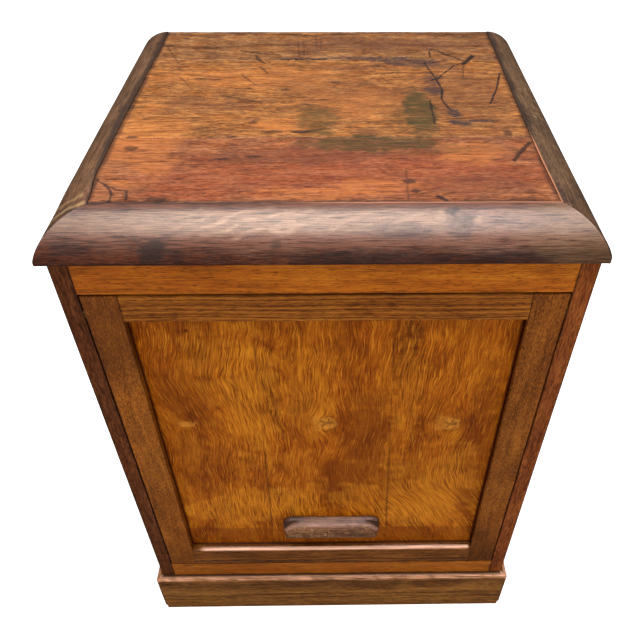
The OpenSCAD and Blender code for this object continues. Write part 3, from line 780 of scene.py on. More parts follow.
def section_points(outline, spacing):
    """Points along a closed outline, no further apart than the spacing."""
    points = []
    for (ax, ay), (bx, by) in zip(outline, outline[1:] + outline[:1]):
        count = max(1, int(math.ceil(math.hypot(bx - ax, by - ay) / spacing)))
        for i in range(count):
            points.append((ax + (bx - ax) * i / count, ay + (by - ay) * i / count))
    return points


def arc(centre, radius, start, end, count):
    """Points on an arc, its ends given in degrees."""
    return [
        (centre[0] + radius * math.cos(math.radians(a)), centre[1] + radius * math.sin(math.radians(a)))
        for a in np.linspace(start, end, count)
    ]


def bullnose_outline(width, thick, arris):
    """Section of the border: across from its outer face, and up from its lower face."""
    centre = thick - width
    start = math.asin((arris - centre) / width)
    curve = []
    for angle in np.linspace(start, math.pi / 2, 36):
        across = width * (1 - math.cos(angle) ** (2 / BULGE))
        curve.append((across, centre + width * math.sin(angle) ** (2 / BULGE)))
    lip = curve[0][0]
    under = [(lip + arris - arris * math.sin(a), curve[0][1] * (1 - math.cos(a)))
             for a in np.linspace(0, math.pi / 2, 9)]
    return under + curve[1:] + [(width, 0)]


def plinth_outline(width, height, arris):
    """Section of the plinth: across from its outer face, and up from the floor."""
    return [(0, 0)] + arc((arris, height - arris), arris, 180, 90, 8) + [(width, height), (width, 0)]


def moulding(name, outline, run, reach_start, reach_end, place, step, spacing):
    """Sweeps a section along a run with its two ends cut as the reach functions say.
    place turns (along, across, up) into a point; step and spacing are the gaps between points."""
    points = section_points(outline, spacing)
    rings = []
    for share in np.linspace(0, 1, int((run[1] - run[0]) / step) + 1):
        ring = []
        for across, up in points:
            first, last = reach_start(across), reach_end(across)
            ring.append(place(first + (last - first) * share, across, up))
        rings.append(ring)
    return loft(name, rings, MOULDING_CREASE)


def wear_moulding(mesh, axis, ends, seed, slow=0.3, dents=0.25):
    """Uneven wear on a moulding, fading out at its mitred ends."""
    points, normals = mesh_points(mesh), mesh_normals(mesh)
    along = points[:, AXES[axis]]
    across = points.sum(1) - along
    clear = smooth(np.minimum(along - ends[0], ends[1] - along), 1, 14)
    bite = slow * rough_noise(along / 60, across / 40, seed, 3)
    bite = bite + dents * smooth(value_noise(along / 4, across / 4, seed + 3), 0.88, 1.0)
    press_in(mesh, points, normals, bite * clear)


UNMITRED = 20.0   # past a square end, so that the wear on a moulding doesn't fade out there


def border_angle(points, outer, inner):
    """Slope of the bullnose at each point: 90 degrees on top, 0 at the outer face."""
    width = abs(inner - outer)
    across = np.clip(np.abs(points - outer) / width, 0, 1)
    return np.degrees(np.arccos(np.clip(1 - across, 0, 1)))


BORDER_DEPTH = FIELD_FRONT - FRONT_Y
BORDER_ARRIS = 2.0
TOP_BAND = 2.0                     # height of the border's level rim, down from the lid
CORNER_R = 6.0


def corner_inset(across, radius, width, other):
    """How far a mitred piece stops short of its corner, at a distance in from its outer face.
    The cut goes round the corner, then straight to the inner corner: width in, and other along."""
    turn = radius * (1 - math.sqrt(0.5))
    if across < turn:
        return radius - math.sqrt(max(radius ** 2 - (radius - across) ** 2, 0))
    return turn + (other - turn) * (across - turn) / (width - turn)


# Painted layers of the border: name, colour, strength, share of fibre that shows through.
BORDER_LAYERS = (
    ("bruise", (34, 24, 22), 0.8, 0.3),
    # pale: scuffs and flecks on the side borders, and a faint painted highlight on the front one
    ("pale", (196, 158, 104), 0.6, 0.5),
    ("olive", (110, 84, 52), 0.5, 1.2),
    ("seam", (206, 132, 92), 0.75, 0.3),
    # dirt along the seams, and painted shade low on the bullnose
    ("dirt_and_shade", (32, 19, 12), 0.8, 0.3),
)
FRONT_LAYERS = (
    # worn: a painted highlight on the upper bullnose, with some wear
    ("worn", (120, 87, 70), 0.76, 1.6),
    ("land", (106, 60, 40), 0.5, 1.2),
    # figure: pale grain streaks within the painted highlight
    ("figure", (184, 146, 116), 0.46, 1.2),
    *BORDER_LAYERS,
)

# Marks on the front border: along X, and the slope of the bullnose there in degrees.
FRONT_BRUISES = (
    (0.9, (-128, 30), (15, 13), 111, 0.9),
    (0.95, (97, 76), (3.6, 5), 112, 0.6),
    (0.55, (101, 58), (8, 16), 113, 0.6),
    (0.55, (56, 50), (22, 9), 114, 0.6),
    (0.55, (-36, 36), (4, 6), 115, 0.6),
    (0.55, (40, 20), (60, 7), 116, 0.6),
    (0.55, (-190, 32), (16, 9), 117, 0.6),
    (0.55, (150, 22), (40, 6), 118, 0.6),
)
FRONT_SCRATCHES = ([(92, 74), (97, 66), (104, 56)], [(92, 63), (112, 66)], [(96, 79), (98, 74)])
FRONT_LAND = ((0.8, (-10, 40), (130, 8), 144, 0.8), (0.8, (132, 42), (36, 7), 145, 0.8))
FRONT_SWIRLS = ((1.0, (-46, 60), (58, 17), 137, 0.6), (0.6, (70, 66), (64, 10), 146, 0.7))
SWIRL_GAP = 24.0


def front_border_masks(x, slope, seam_gap, on_top):
    """Painted layers of the front border."""
    bruise = blots(x, slope, FRONT_BRUISES)
    for i, line in enumerate(FRONT_SCRATCHES):
        bruise = np.maximum(bruise, 0.8 * stroke(x, slope, line, 2.2, 147 + i, 0.8))
    # worn: paler where the bullnose slopes up towards the light, and fading on the level rim: a painted
    # highlight, with some wear
    worn = smooth(slope + 16 * (rough_noise(x / 40, slope / 30, 135) - 0.5), 18, 52)
    worn = worn * (0.55 + 0.45 * smooth(x, -190, -90)) * (1 - 0.6 * smooth(slope, 74, 80))
    worn = worn * (0.72 + 0.5 * rough_noise(x / 22, slope / 12, 143, 3))
    land = smooth(slope, 78, 84) * (0.6 + 0.4 * rough_noise(x / 14, slope / 5, 142, 2))
    # figure: grain drawn as pale streaks, only in the band of the painted highlight
    lean = (x - 1.3 * (slope - 60)) / SWIRL_GAP + 4 * rough_noise(x / 60, slope / 40, 136, 3)
    figure = smooth(np.cos(lean * 2 * np.pi), -0.1, 1.0) * blots(x, slope, FRONT_SWIRLS)
    ragged_gap = seam_gap + 2 * (value_noise(x / 9, 0 * x, 131) - 0.5)
    dirt = (1 - smooth(ragged_gap, 0.4, 2.6)) * (1 - 0.8 * smooth(x, -60, 30))
    return {
        "bruise": bruise,
        "worn": worn,
        "land": np.maximum(land, blots(x, slope, FRONT_LAND)),
        "figure": figure * (0.3 + 0.7 * rough_noise(x / 12, slope / 9, 130, 2)),
        "seam": (1 - smooth(seam_gap, 0.4, 1.1)) * smooth(x, -60, 10) * on_top,
        # dirt along the seam at the left, and painted shade low on the bullnose, where it turns down
        "dirt_and_shade": np.maximum(dirt, 1 - smooth(slope + 8 * value_noise(x / 15, 0 * x, 132), 4, 22)),
        # pale on the front: a faint painted highlight along the brightest slope of the bullnose
        "pale": 0.175 * patch(x, slope, (-60, 62), (150, 14), 133, 0.6),
        "olive": 0.6 * patch(x, slope, (190, 45), (40, 40), 134, 0.9),
    }


def border_front():
    """Front border: a bullnose mitred at both ends."""
    base = FRONT_BORDER[0][2]
    run = (-TOP_HALF[-1], TOP_HALF[1])

    def reach(side, across):
        half = TOP_HALF[side]
        return side * (half - corner_inset(across, CORNER_R, BORDER_DEPTH, half - FIELD_HALF))

    def place(along, across, up):
        return (along, FRONT_Y + across, base + up)

    mesh = moulding(
        "border_front_worn", bullnose_outline(BORDER_DEPTH, LID_Z - base, BORDER_ARRIS), run,
        lambda a: reach(-1, a), lambda a: reach(1, a), place, 2.0, 1.6,
    )
    wear_moulding(mesh, "x", run, 101)
    points = mesh_points(mesh)
    slope = border_angle(points[:, 1], FRONT_Y, FIELD_FRONT)
    paint_all(mesh, front_border_masks(
        points[:, 0], slope, FIELD_FRONT - points[:, 1], points[:, 2] > LID_Z - TOP_BAND,
    ))
    return dress(
        mesh, "border_front", "border_wood", BORDER_TONES, "x", 3, FRONT_BORDER, edge_share=0.0,
        ring_gap=6, ring=0.9, ring_wave=26, ring_length=130, pith=(10, -30), fibre=1.6,
        fibre_size=(20.0, 0.95), fine=1.9, fine_size=(7.0, 0.7), hair_size=(60.0, 1.1), rough=0.42,
        specular=0.35, coat=0.5, coat_rough=0.36, bump=0.16, layers=FRONT_LAYERS, warm=(1.0, 0.8, 0.7),
        rough_layers=(("bruise", 0.08),),
    )


def side_border_masks(side, y, slope, seam_gap, on_top):
    """Painted layers of a side border: a dirty left one, and a cleaner right one with a bright seam."""
    if side < 0:
        pale = 0.5 * stroke(y, slope, [(-148, 80), (-152, 60), (-150, 30)], 3, 151, 3)
        pale = np.maximum(pale, 0.6 * stroke(y, slope, [(-158, 86), (-164, 60), (-170, 40)], 3, 152, 3))
        bruise = 0.7 * patch(y, slope, (-164, 70), (7, 14), 153, 0.7)
        bright = 0 * y
        spread = 6.5 * smooth(y, -130, -60)
    else:
        flecks = 0.45 * smooth(value_noise(y / 2.2, slope / 7, 154), 0.72, 0.95)
        pale = flecks * patch(y, slope, (10, 50), (90, 34), 155)
        bruise = 0.5 * patch(y, slope, (-20, 50), (60, 16), 156, 0.8)
        bright = (1 - smooth(seam_gap, 0.6, 1.5)) * on_top * (1 - smooth(y, -70, -30))
        spread = 4.5 * smooth(y, -80, -20)
    reach = spread * (0.7 + 0.6 * value_noise(y / 26, 0 * y, 157))
    dirt = (1 - smooth(seam_gap, 0.5 * reach + 0.4, reach + 1.6)) * on_top
    return {
        "bruise": bruise,
        "seam": bright,
        # dirt along the seam, and painted shade low on the bullnose, where it turns down
        "dirt_and_shade": np.maximum(0.9 * dirt * (1 - bright), 0.8 * (1 - smooth(slope, 6, 26))),
        "pale": pale,
        "olive": 0.55 * patch(y, slope, (20, 50), (190, 40), 158, 0.6),
    }


def border_side(side):
    """Side border: mitred at the front, and square at the back with a small round."""
    node = "border_right" if side > 0 else "border_left"
    low, high = box(node)
    half, base, rear = TOP_HALF[side], low[2], FIELD_BACK
    width = half - FIELD_HALF
    rear_r = 4.0

    def reach_front(across):
        return FRONT_Y + corner_inset(across, CORNER_R, width, BORDER_DEPTH)

    def reach_rear(across):
        return rear - rear_r + math.sqrt(max(rear_r ** 2 - max(rear_r - across, 0) ** 2, 0))

    def place(along, across, up):
        inner = abs(float(seam(side, along))) if along > FIELD_FRONT else FIELD_HALF
        return (side * (half + (inner - half) * (across / width)), along, base + up)

    outline = bullnose_outline(width, LID_Z - base, BORDER_ARRIS)
    mesh = moulding(node + "_worn", outline, (FRONT_Y, rear), reach_front, reach_rear, place, 2.5, 1.8)
    wear_moulding(mesh, "y", (FRONT_Y, rear + UNMITRED), 140 + side)
    points = mesh_points(mesh)
    y = points[:, 1]
    slope = border_angle(np.abs(points[:, 0]), half, FIELD_HALF)
    seam_gap = np.abs(points[:, 0]) - np.where(y > FIELD_FRONT, np.abs(seam(side, y)), FIELD_HALF)
    paint_all(mesh, side_border_masks(side, y, slope, seam_gap, points[:, 2] > LID_Z - TOP_BAND))
    return dress(
        mesh, node, "border_wood", SIDE_BORDER_TONES[side], "y", 5 + side, (low, high), edge_share=0.0,
        ring_gap=5, ring=0.5, ring_wave=14, pith=(18, -30), fibre=0.9, fine=2.0, fine_size=(5.0, 1.6),
        blotch=1.5, blotch_size=(26, 14), rough=0.5, specular=0.4, coat=0.2, coat_rough=0.4, bump=0.16,
        layers=BORDER_LAYERS,
    )


PLINTH_CORNER_R = 4.0
PLINTH_ARRIS = 6.5


def plinth_board(node, side):
    """Front board at side 0, left board at -1 and right board at 1."""
    half = -PLINTH_LEFT[0][0]
    width, height = PLINTH_FRONT[1][1] - FRONT_Y, PLINTH_FRONT[1][2]

    def inset(across):
        return corner_inset(across, PLINTH_CORNER_R, width, width)

    if side == 0:
        axis, run = "x", (-half, half)
        starts, ends = (lambda a: inset(a) - half), (lambda a: half - inset(a))

        def place(along, across, up):
            return (along, FRONT_Y + across, up)
    else:
        axis, run = "y", (FRONT_Y, FIELD_BACK)
        starts, ends = (lambda a: FRONT_Y + inset(a)), (lambda a: FIELD_BACK)

        def place(along, across, up):
            return (side * (half - across), along, up)

    outline = plinth_outline(width, height, PLINTH_ARRIS)
    mesh = moulding(node + "_worn", outline, run, starts, ends, place, 3.0, 3.0)
    wear_moulding(mesh, axis, (run[0], run[1] + (0 if side == 0 else UNMITRED)), 170 + side, 0.3, 0.6)
    up = mesh_normals(mesh)[:, 2]
    chips = 0.45 + 0.55 * smooth(value_noise(mesh_points(mesh).sum(1) / 7, 0.0, 173), 0.2, 0.6)
    # painted highlight along the rounded top arris, where it faces up, broken by chips
    paint(mesh, "arris_highlight", smooth(up, 0.3, 0.7) * smooth(-up, -0.995, -0.9) * chips)
    paint(mesh, "shadow", smooth(up, 0.985, 0.999))
    return dress(
        mesh, node, "plinth_wood", PLINTH_TONES, axis, 11 + side, box(node), ring_gap=5, ring=1.1,
        ring_wave=16, fibre=1.7, pith=(30, 30), edge=2.0, edge_share=0.45, rough=0.42, specular=0.15,
        coat=0.3, coat_rough=0.25,
        # painted highlight on the top arris, and painted shadow on the level top
        layers=(("arris_highlight", (206, 150, 118), 0.55, 1.4), ("shadow", (40, 20, 12), 0.85, 0.2)),
    )


# ---------------------------------------------------------------- door

KNOTS = [(-2.0, 354.0, 22.0), (118.0, 352.0, 20.0)]   # across, up, and size
KNOT_RING_GAP = 3.4
LEAN_Z = 300                                           # below this the grain leans to the right
PANEL_HOLE = (-119, 478)                               # an old nail hole
PANEL_GRID = 1.2                                       # gap between the points of a panel board


def panel_grain(x, z):
    """Grain of the panel: across and along the fibres, swept round the knots and leaning lower down."""
    across = x + 0.0
    for kx, kz, size in KNOTS:
        distance = np.hypot(x - kx, (z - kz) * 0.7)
        across = across - (x - kx) * 0.8 * np.exp(-(distance / size) ** 2)
    low_right = smooth(-z, -LEAN_Z, -180) * 0.35 * (z - LEAN_Z) * smooth(x, -40, 120)
    high_left = 0.22 * smooth(-x, 0, 110) * smooth(z, 290, 360) * smooth(-z, -480, -390) * (z - 370)
    slow = 14 * (rough_noise(x / 90, z / 70, 201, 2) - 0.5)
    quick = 4.0 * (rough_noise(x / 12, z / 15, 202, 2) - 0.5)
    along = z + 12 * (rough_noise(x / 25, z / 40, 203, 2) - 0.5)
    return across + low_right + slow + quick + high_left, along


# Blots on the door panel, across and up: strength, centre, half sizes, seed, raggedness.
PANEL_PALE = (
    (0.7, (-95, 205), (58, 36), 211, 0.8),
    (0.8, (-44, 216), (30, 30), 212, 0.7),
    (0.8, (84, 205), (34, 34), 213, 0.8),
    (0.65, (120, 240), (40, 60), 214, 0.9),
    (0.55, (30, 225), (30, 24), 215, 0.9),
    (0.45, (-20, 400), (24, 60), 216, 0.9),
    (0.4, (72, 400), (14, 70), 217, 0.9),
    (0.75, (-74, 392), (30, 84), 219, 0.8),
    (0.5, (-104, 448), (24, 36), 220, 0.9),
)
PANEL_DARK = (
    (0.75, (20, 262), (34, 52), 221, 0.7, 0.35, -20),
    (0.6, (40, 330), (22, 70), 222, 0.8),
    (0.6, (66, 262), (20, 32), 223, 0.7, 0.35, -40),
    (0.4, (-138, 300), (16, 60), 224, 0.8),
    (0.35, (-134, 400), (22, 50), 225, 0.9),
    (0.5, (150, 300), (16, 120), 226, 0.8),
    (0.4, (118, 262), (40, 26), 229, 0.9),
)


def knot_masks(x, z):
    """The knots as two layers: the pale wood around each, and its dark rings and splits."""
    knot, heart = 0 * x, 0 * x
    for i, (kx, kz, _) in enumerate(KNOTS):
        distance = np.hypot(x - kx, z - kz) + 2.4 * (value_noise(x / 3, z / 3, 231 + i) - 0.5)
        rings = 0.5 + 0.5 * np.cos(distance * 2 * np.pi / KNOT_RING_GAP)
        outer_ring = (1 - smooth(np.abs(distance - 10), 0.5, 2.0)) * smooth(x - kx, -9, 2)
        level = stroke(x, z, [(kx - 6, kz + 3), (kx, kz), (kx + 5, kz + 1)], 2.2, 233 + i, 1.5)
        upright = stroke(x, z, [(kx - 4, kz - 5), (kx, kz), (kx + 1, kz + 6)], 1.8, 239 + i, 1.5)
        beside = 0.6 * patch(x, z, (kx - 9, kz + 2), (6, 12), 237 + i, 0.5)
        knot = np.maximum.reduce([knot, 1 - smooth(distance, 7, 11), beside])
        heart = np.maximum.reduce([heart, 0.55 * rings * (1 - smooth(distance, 8, 13)), 0.5 * outer_ring,
                                   0.95 * level, 0.8 * upright])
    knot = np.maximum(knot, 0.8 * patch(x, z, (-137, 354), (7, 5), 235, 0.7))
    hole = 0.9 * (1 - smooth(np.hypot(x - PANEL_HOLE[0], z - PANEL_HOLE[1]), 1.2, 2.6))
    return knot, np.maximum(heart, hole)


def panel_masks(x, z):
    """Painted layers of the door panel."""
    foot = smooth(z + 6 * (value_noise(x / 12, z / 30, 218) - 0.5), 163, 166)
    damp = 0.75 * (1 - foot) * (0.4 + 0.6 * rough_noise(x / 30, z / 14, 227, 2))
    knot, heart = knot_masks(x, z)
    cloud = 3 * (rough_noise(x / 25, z / 25, 236) - 0.5)
    # painted shade where the panel lies back in its frame: beside the stiles, under the top rail and above
    # the bottom rail, with some dirt
    beside = 1 - smooth(OPEN_HALF - np.abs(x) + 0.4 * cloud, 0.3, 2.4)
    above = 0.7 * (1 - smooth(OPEN_HIGH - z + 2 * cloud, 0.5, 9))
    below = 1 - smooth(z - OPEN_LOW + 0.3 * cloud, 0.6, 2.6)
    return {
        "pale": blots(x, z, PANEL_PALE) * foot,
        "dark": np.maximum(blots(x, z, PANEL_DARK), damp),
        "knot": knot,
        "heart": heart,
        "dirt_and_shade": np.maximum.reduce([beside, above, below]),
    }


def panel_board(node, seed):
    """One board of the door panel, between its two joins."""
    low, high = box(node)
    source = mesh_points(frame["nodes"][node].data)
    ends = []
    for level in (low[2], high[2]):
        row = source[np.abs(source[:, 2] - level) < 0.5]
        ends.append((row[:, 0].min(), row[:, 0].max()))
    columns = int((high[0] - low[0]) / PANEL_GRID) + 1
    rows = int((high[2] - low[2]) / PANEL_GRID) + 1
    z = np.linspace(low[2], high[2], rows)[:, None] + np.zeros((1, columns))
    up = (z - low[2]) / (high[2] - low[2])
    left, right = (ends[0][i] + (ends[1][i] - ends[0][i]) * up for i in (0, 1))
    x = left + (right - left) * np.linspace(0, 1, columns)[None, :]
    masks = panel_masks(x, z)
    edges = np.minimum(x - left, right - x)
    depth = 0.05 + 0.15 * rough_noise(x / 40, z / 70, 241, 3) + 0.1 * rough_noise(x / 2.5, z / 14, 242, 2)
    depth = depth + 0.3 * (1 - smooth(edges, 0.1, 1.4)) + 0.25 * masks["heart"]
    depth = depth + 2 * (1 - smooth(np.hypot(x - PANEL_HOLE[0], z - PANEL_HOLE[1]), 0.8, 2.2))
    mesh = slab(node + "_worn", np.stack([x, low[1] + depth, z], -1), "y", high[1])
    across, along = panel_grain(x, z)
    rim = mesh_points(mesh)[x.size:]
    grain = np.stack([along, across, 0 * x + 10 * seed], -1).reshape(-1, 3)
    rim_grain = np.stack([rim[:, 2], rim[:, 0], rim[:, 1] - high[1] + 18 + 10 * seed], -1)
    paint(mesh, "grain", np.vstack([grain, rim_grain]), "FLOAT_VECTOR", "vector")
    join = 1 - smooth(edges + 0.8 * (value_noise(x / 5, z / 9, 243) - 0.5), 0.3, 1.5)
    join[np.abs(x) > OPEN_HALF - 20] = 0   # the outer boards end in the stiles, with no join to see
    masks["join"] = join * (0.35 + 0.65 * smooth(value_noise(0 * x, z / 30, 244), 0.3, 0.7))
    paint_all(mesh, masks)
    return dress(
        mesh, node, "door_panel_wood", PANEL_TONES, "z", seed, None, mapped=True, ring_gap=9, ring=0.5,
        ring_wave=8, ring_length=60, pith=(70.0, 20.0), fibre=1.8, fibre_size=(26.0, 1.25), fine=1.3,
        fine_size=(15.0, 0.85), blotch=1.9, blotch_size=(62, 30), pore=0.35, warm_share=0.5, rough=0.5,
        specular=0.03, bump=0.2, glint=0.45, glint_size=(24.0, 1.2), glint_tone=(190, 120, 28), hair=0.4,
        hair_size=(34.0, 1.3),
        layers=(
            ("dark", (88, 38, 2), 0.75, 0.6),
            ("pale", (178, 112, 22), 0.45, 2.2),
            ("knot", (186, 122, 40), 0.6, 0.5),
            ("heart", (66, 34, 12), 0.75, 0.2),
            ("join", (60, 28, 8), 0.7, 0.2),
            # painted shade round the panel in its frame's recess, with some dirt
            ("dirt_and_shade", (58, 18, 4), 0.85, 0.3),
        ),
    )


RAIL_SHARP_R = 0.8    # radius of the bottom rail's upper arris beside the stiles
RAIL_ROUND_R = 4.9    # what the worn middle adds to it
RAIL_SWING = 0.7      # and how much that varies
HIDDEN_CUT = 0.6      # corner cut of its other arrises


def door_bottom_rail():
    """Bottom rail with its upper arris rounded, the round stopped short of each stile."""
    node = "door_bottom_rail"
    low, high = DOOR_LOW
    front, rear, top = low[1], high[1], high[2]
    groove_front, groove_rear = PANEL_LEFT[0][1], PANEL_LEFT[1][1]
    groove_low = PANEL_LEFT[0][2] - 1
    stations = np.concatenate([
        np.linspace(-OPEN_HALF, -OPEN_HALF + 16, 17), np.linspace(-OPEN_HALF + 20, OPEN_HALF - 20, 100),
        np.linspace(OPEN_HALF - 16, OPEN_HALF, 17),
    ])
    rings = []
    for x in stations:
        gap = OPEN_HALF - abs(x)
        open_share = math.sqrt(float(smooth(gap, 5, 15) if x < 0 else smooth(gap, 0, 4)))
        worn = float(value_noise(x / 20, 0.0, 251))
        radius = RAIL_SHARP_R + (RAIL_ROUND_R + RAIL_SWING * worn) * open_share
        ring = [
            (rear, low[2] + HIDDEN_CUT), (rear - HIDDEN_CUT, low[2]),
            (front + HIDDEN_CUT, low[2]), (front, low[2] + HIDDEN_CUT),
            (front, low[2] + 7), (front, low[2] + 14), (front, top - 9),
            *arc((front + radius, top - radius), radius, 180, 90, 10),
            (groove_front - 1.6, top), (groove_front - 0.9, top), (groove_front, top),
            (groove_front, groove_low), (groove_rear, groove_low), (groove_rear, top),
            (rear - HIDDEN_CUT, top), (rear, top - HIDDEN_CUT),
        ]
        rings.append([(x, y, z) for y, z in ring])
    mesh = loft(node + "_worn", rings, MOULDING_CREASE)
    points, normals = mesh_points(mesh), mesh_normals(mesh)
    dent = 0.35 * smooth(value_noise(points[:, 0] / 6, points[:, 2] / 3, 252), 0.8, 1.0)
    press_in(mesh, points, normals, dent * (points[:, 1] < PANEL_Y - 1))
    # painted highlight on the rounded upper arris, where it faces up and forward, stopped short of each stile
    arris_highlight = smooth(normals[:, 2], 0.42, 0.62) * (1 - smooth(normals[:, 2], 0.84, 0.96))
    arris_highlight = arris_highlight * smooth(OPEN_HALF + points[:, 0], 7, 16) * smooth(OPEN_HALF - points[:, 0], 0.5, 4)
    paint(mesh, "shadow", smooth(points[:, 1], PANEL_Y - 1.5, PANEL_Y - 1.0) * (points[:, 2] > top - 1))
    paint(mesh, "arris_highlight", arris_highlight)
    return dress(
        mesh, node, "door_frame_wood", DOOR_LOW_RAIL_TONES, "x", 31, between(node, OPEN_HALF),
        ring_gap=4, fibre=1.7, rough=0.4, specular=0.1, coat=0.35, coat_rough=0.18, edge=2.0, edge_share=0.45,
        # painted highlight on the arris, and painted shadow on the ledge by the panel
        layers=(("arris_highlight", (238, 186, 158), 0.8, 0.8), ("shadow", (34, 12, 6), 0.9, 0.1)),
    )


PULL_HALF, PULL_HEIGHT, PULL_OUT = PULL[1][0], PULL[1][2] - PULL[0][2], PULL[1][1] - PULL[0][1]
PULL_PLATE, PULL_CORNER = 5.0, 10.0      # thickness of the plate, and the radius of its upper corners
SWELL_R = PULL_HEIGHT - 0.4              # the half-moon swell, and the half length of its level top
SWELL_FLAT = PULL_HALF - 0.6 - SWELL_R
SWELL_RISE = 12.5                        # height over which the swell comes forward
SCOOP_HALF, SCOOP_R = PULL_HALF - 10, 9.0


def pull_ring(x, face, base):
    """Section of the finger pull at a place along it: down its front, then back under it."""
    past = max(abs(x) - (PULL_HALF - PULL_CORNER), 0)
    top = PULL_HEIGHT - PULL_CORNER + math.sqrt(max(PULL_CORNER ** 2 - past ** 2, 0))
    levels = top * (1 - (1 - np.cos(np.linspace(0, math.pi, 44))) / 2)
    edge = np.minimum(top - levels, PULL_HALF - abs(x))
    rim = np.sqrt(np.clip(1 - (1 - np.clip(edge / 2.2, 0, 1)) ** 2, 0, 1))
    moon = math.sqrt(max(SWELL_R ** 2 - max(abs(x) - SWELL_FLAT, 0) ** 2, 0))
    up = np.clip((moon - levels) / SWELL_RISE, 0, 1)
    inward = min(max((PULL_HALF - 0.6 - abs(x)) / 6, 0), 1)
    swell = (PULL_OUT - 0.3) * np.sqrt(1 - (1 - up) ** 2.2) * math.sqrt(1 - (1 - inward) ** 2.4)
    front = np.maximum(PULL_PLATE * rim, swell)
    front = front - 0.5 * (1 - smooth(levels, 0, 1.6)) * (front > 6)
    ring = [(x, face, base + top)]
    ring += [(x, face - max(out, 0.05), base + level) for out, level in zip(front, levels)]
    scoop = math.sqrt(max(1 - (abs(x) / SCOOP_HALF) ** 4, 0))
    reach = min(SCOOP_R + 2, front[-1] - 1)
    for share in np.linspace(0, 1, 14)[1:]:
        y = reach * (1 - share)
        arch = math.sqrt(max(SCOOP_R ** 2 - (y - 2) ** 2, 0))
        ring.append((x, face - y, base + arch * scoop))
    return ring


def door_pull():
    """Finger pull: a plate with rounded upper corners, a half-moon swell, and a hollow below."""
    node = "door_pull"
    face, base = PULL[1][1], PULL[0][2]
    stations = PULL_HALF * np.sin(np.linspace(-math.pi / 2, math.pi / 2, 150))
    mesh = loft(node + "_worn", [pull_ring(x, face, base) for x in stations], PULL_CREASE)
    points = mesh_points(mesh)
    x, z = points[:, 0], points[:, 2] - base
    out_share = (face - points[:, 1]) / PULL_OUT
    dent = 0.3 * smooth(value_noise(x / 4, z / 3, 261), 0.8, 1.0) * (out_share > 0.5)
    press_in(mesh, points, mesh_normals(mesh), dent)
    speck = smooth(value_noise(x / 1.6, z / 1.4, 262), 0.62, 0.86)
    speck = speck * smooth(value_noise(x / 9, z / 6, 263), 0.3, 0.7)
    moon = np.sqrt(np.clip(SWELL_R ** 2 - np.clip(np.abs(x) - SWELL_FLAT, 0, None) ** 2, 0, None))
    # painted shade in the plate's corners beside the swell and along the pull's underside, with some dirt
    outside = smooth(z - moon, -2.2, -0.8) * smooth(np.abs(x), SWELL_FLAT - 4, SWELL_FLAT + 6)
    fuzz = 0.35 + 0.65 * rough_noise(x / 3.5, z / 1.3, 264, 2)
    crest = smooth(z - moon, -4.6, -3.0) * (1 - smooth(z - moon, -2.4, -0.8))
    sheen = 0.3 * smooth(mesh_normals(mesh)[:, 2], 0.4, 0.9) * (0.4 + 0.6 * smooth(x, -40, 10))
    paint_all(mesh, {
        "wear": speck * smooth(out_share, 0.55, 0.8) * (1 - 0.7 * smooth(np.abs(x + 8), 18, 46)),
        "dirt_and_shade": np.maximum(outside * (1 - smooth(out_share, 0.4, 0.55)), 0.5 * smooth(-z, -2.5, -0.5)),
        "sheen": np.maximum(sheen, 0.85 * crest) * fuzz * (out_share > 0.1),
    })
    return dress(
        mesh, node, "pull_wood", PULL_TONES, "x", 41, PULL, ring_gap=3, ring=0.6, fibre=1.5, rough=0.5,
        specular=0.35, coat=0.3, coat_rough=0.45, edge_share=0.0,
        layers=(
            # painted shade in the plate's corners and under the pull, with some dirt
            ("dirt_and_shade", (50, 28, 22), 0.75, 0.3),
            ("sheen", (196, 150, 136), 0.7, 0.6),
            ("wear", (176, 126, 84), 0.8, 0.5),
        ),
    )


# ---------------------------------------------------------------- plain members

def member(node, slot, tones, axis, seed, arris=0.8, step=6.0, wear=0.5, span=None, depths=(), **look):
    """A straight piece: the CAD shape with worn arrises, and its own run of timber."""
    mesh = worn_copy(node, axis, arris, step, wear, seed, depths)
    mesh.materials.clear()
    piece = dress(mesh, node, slot, tones, axis, seed, span or box(node), **look)
    piece.modifiers.new("flat_faces", "WEIGHTED_NORMAL").keep_sharp = True
    return piece


def between(node, half):
    """A node's box, cut to the part that shows between two uprights."""
    low, high = box(node)
    low[0], high[0] = -half, half
    return low, high


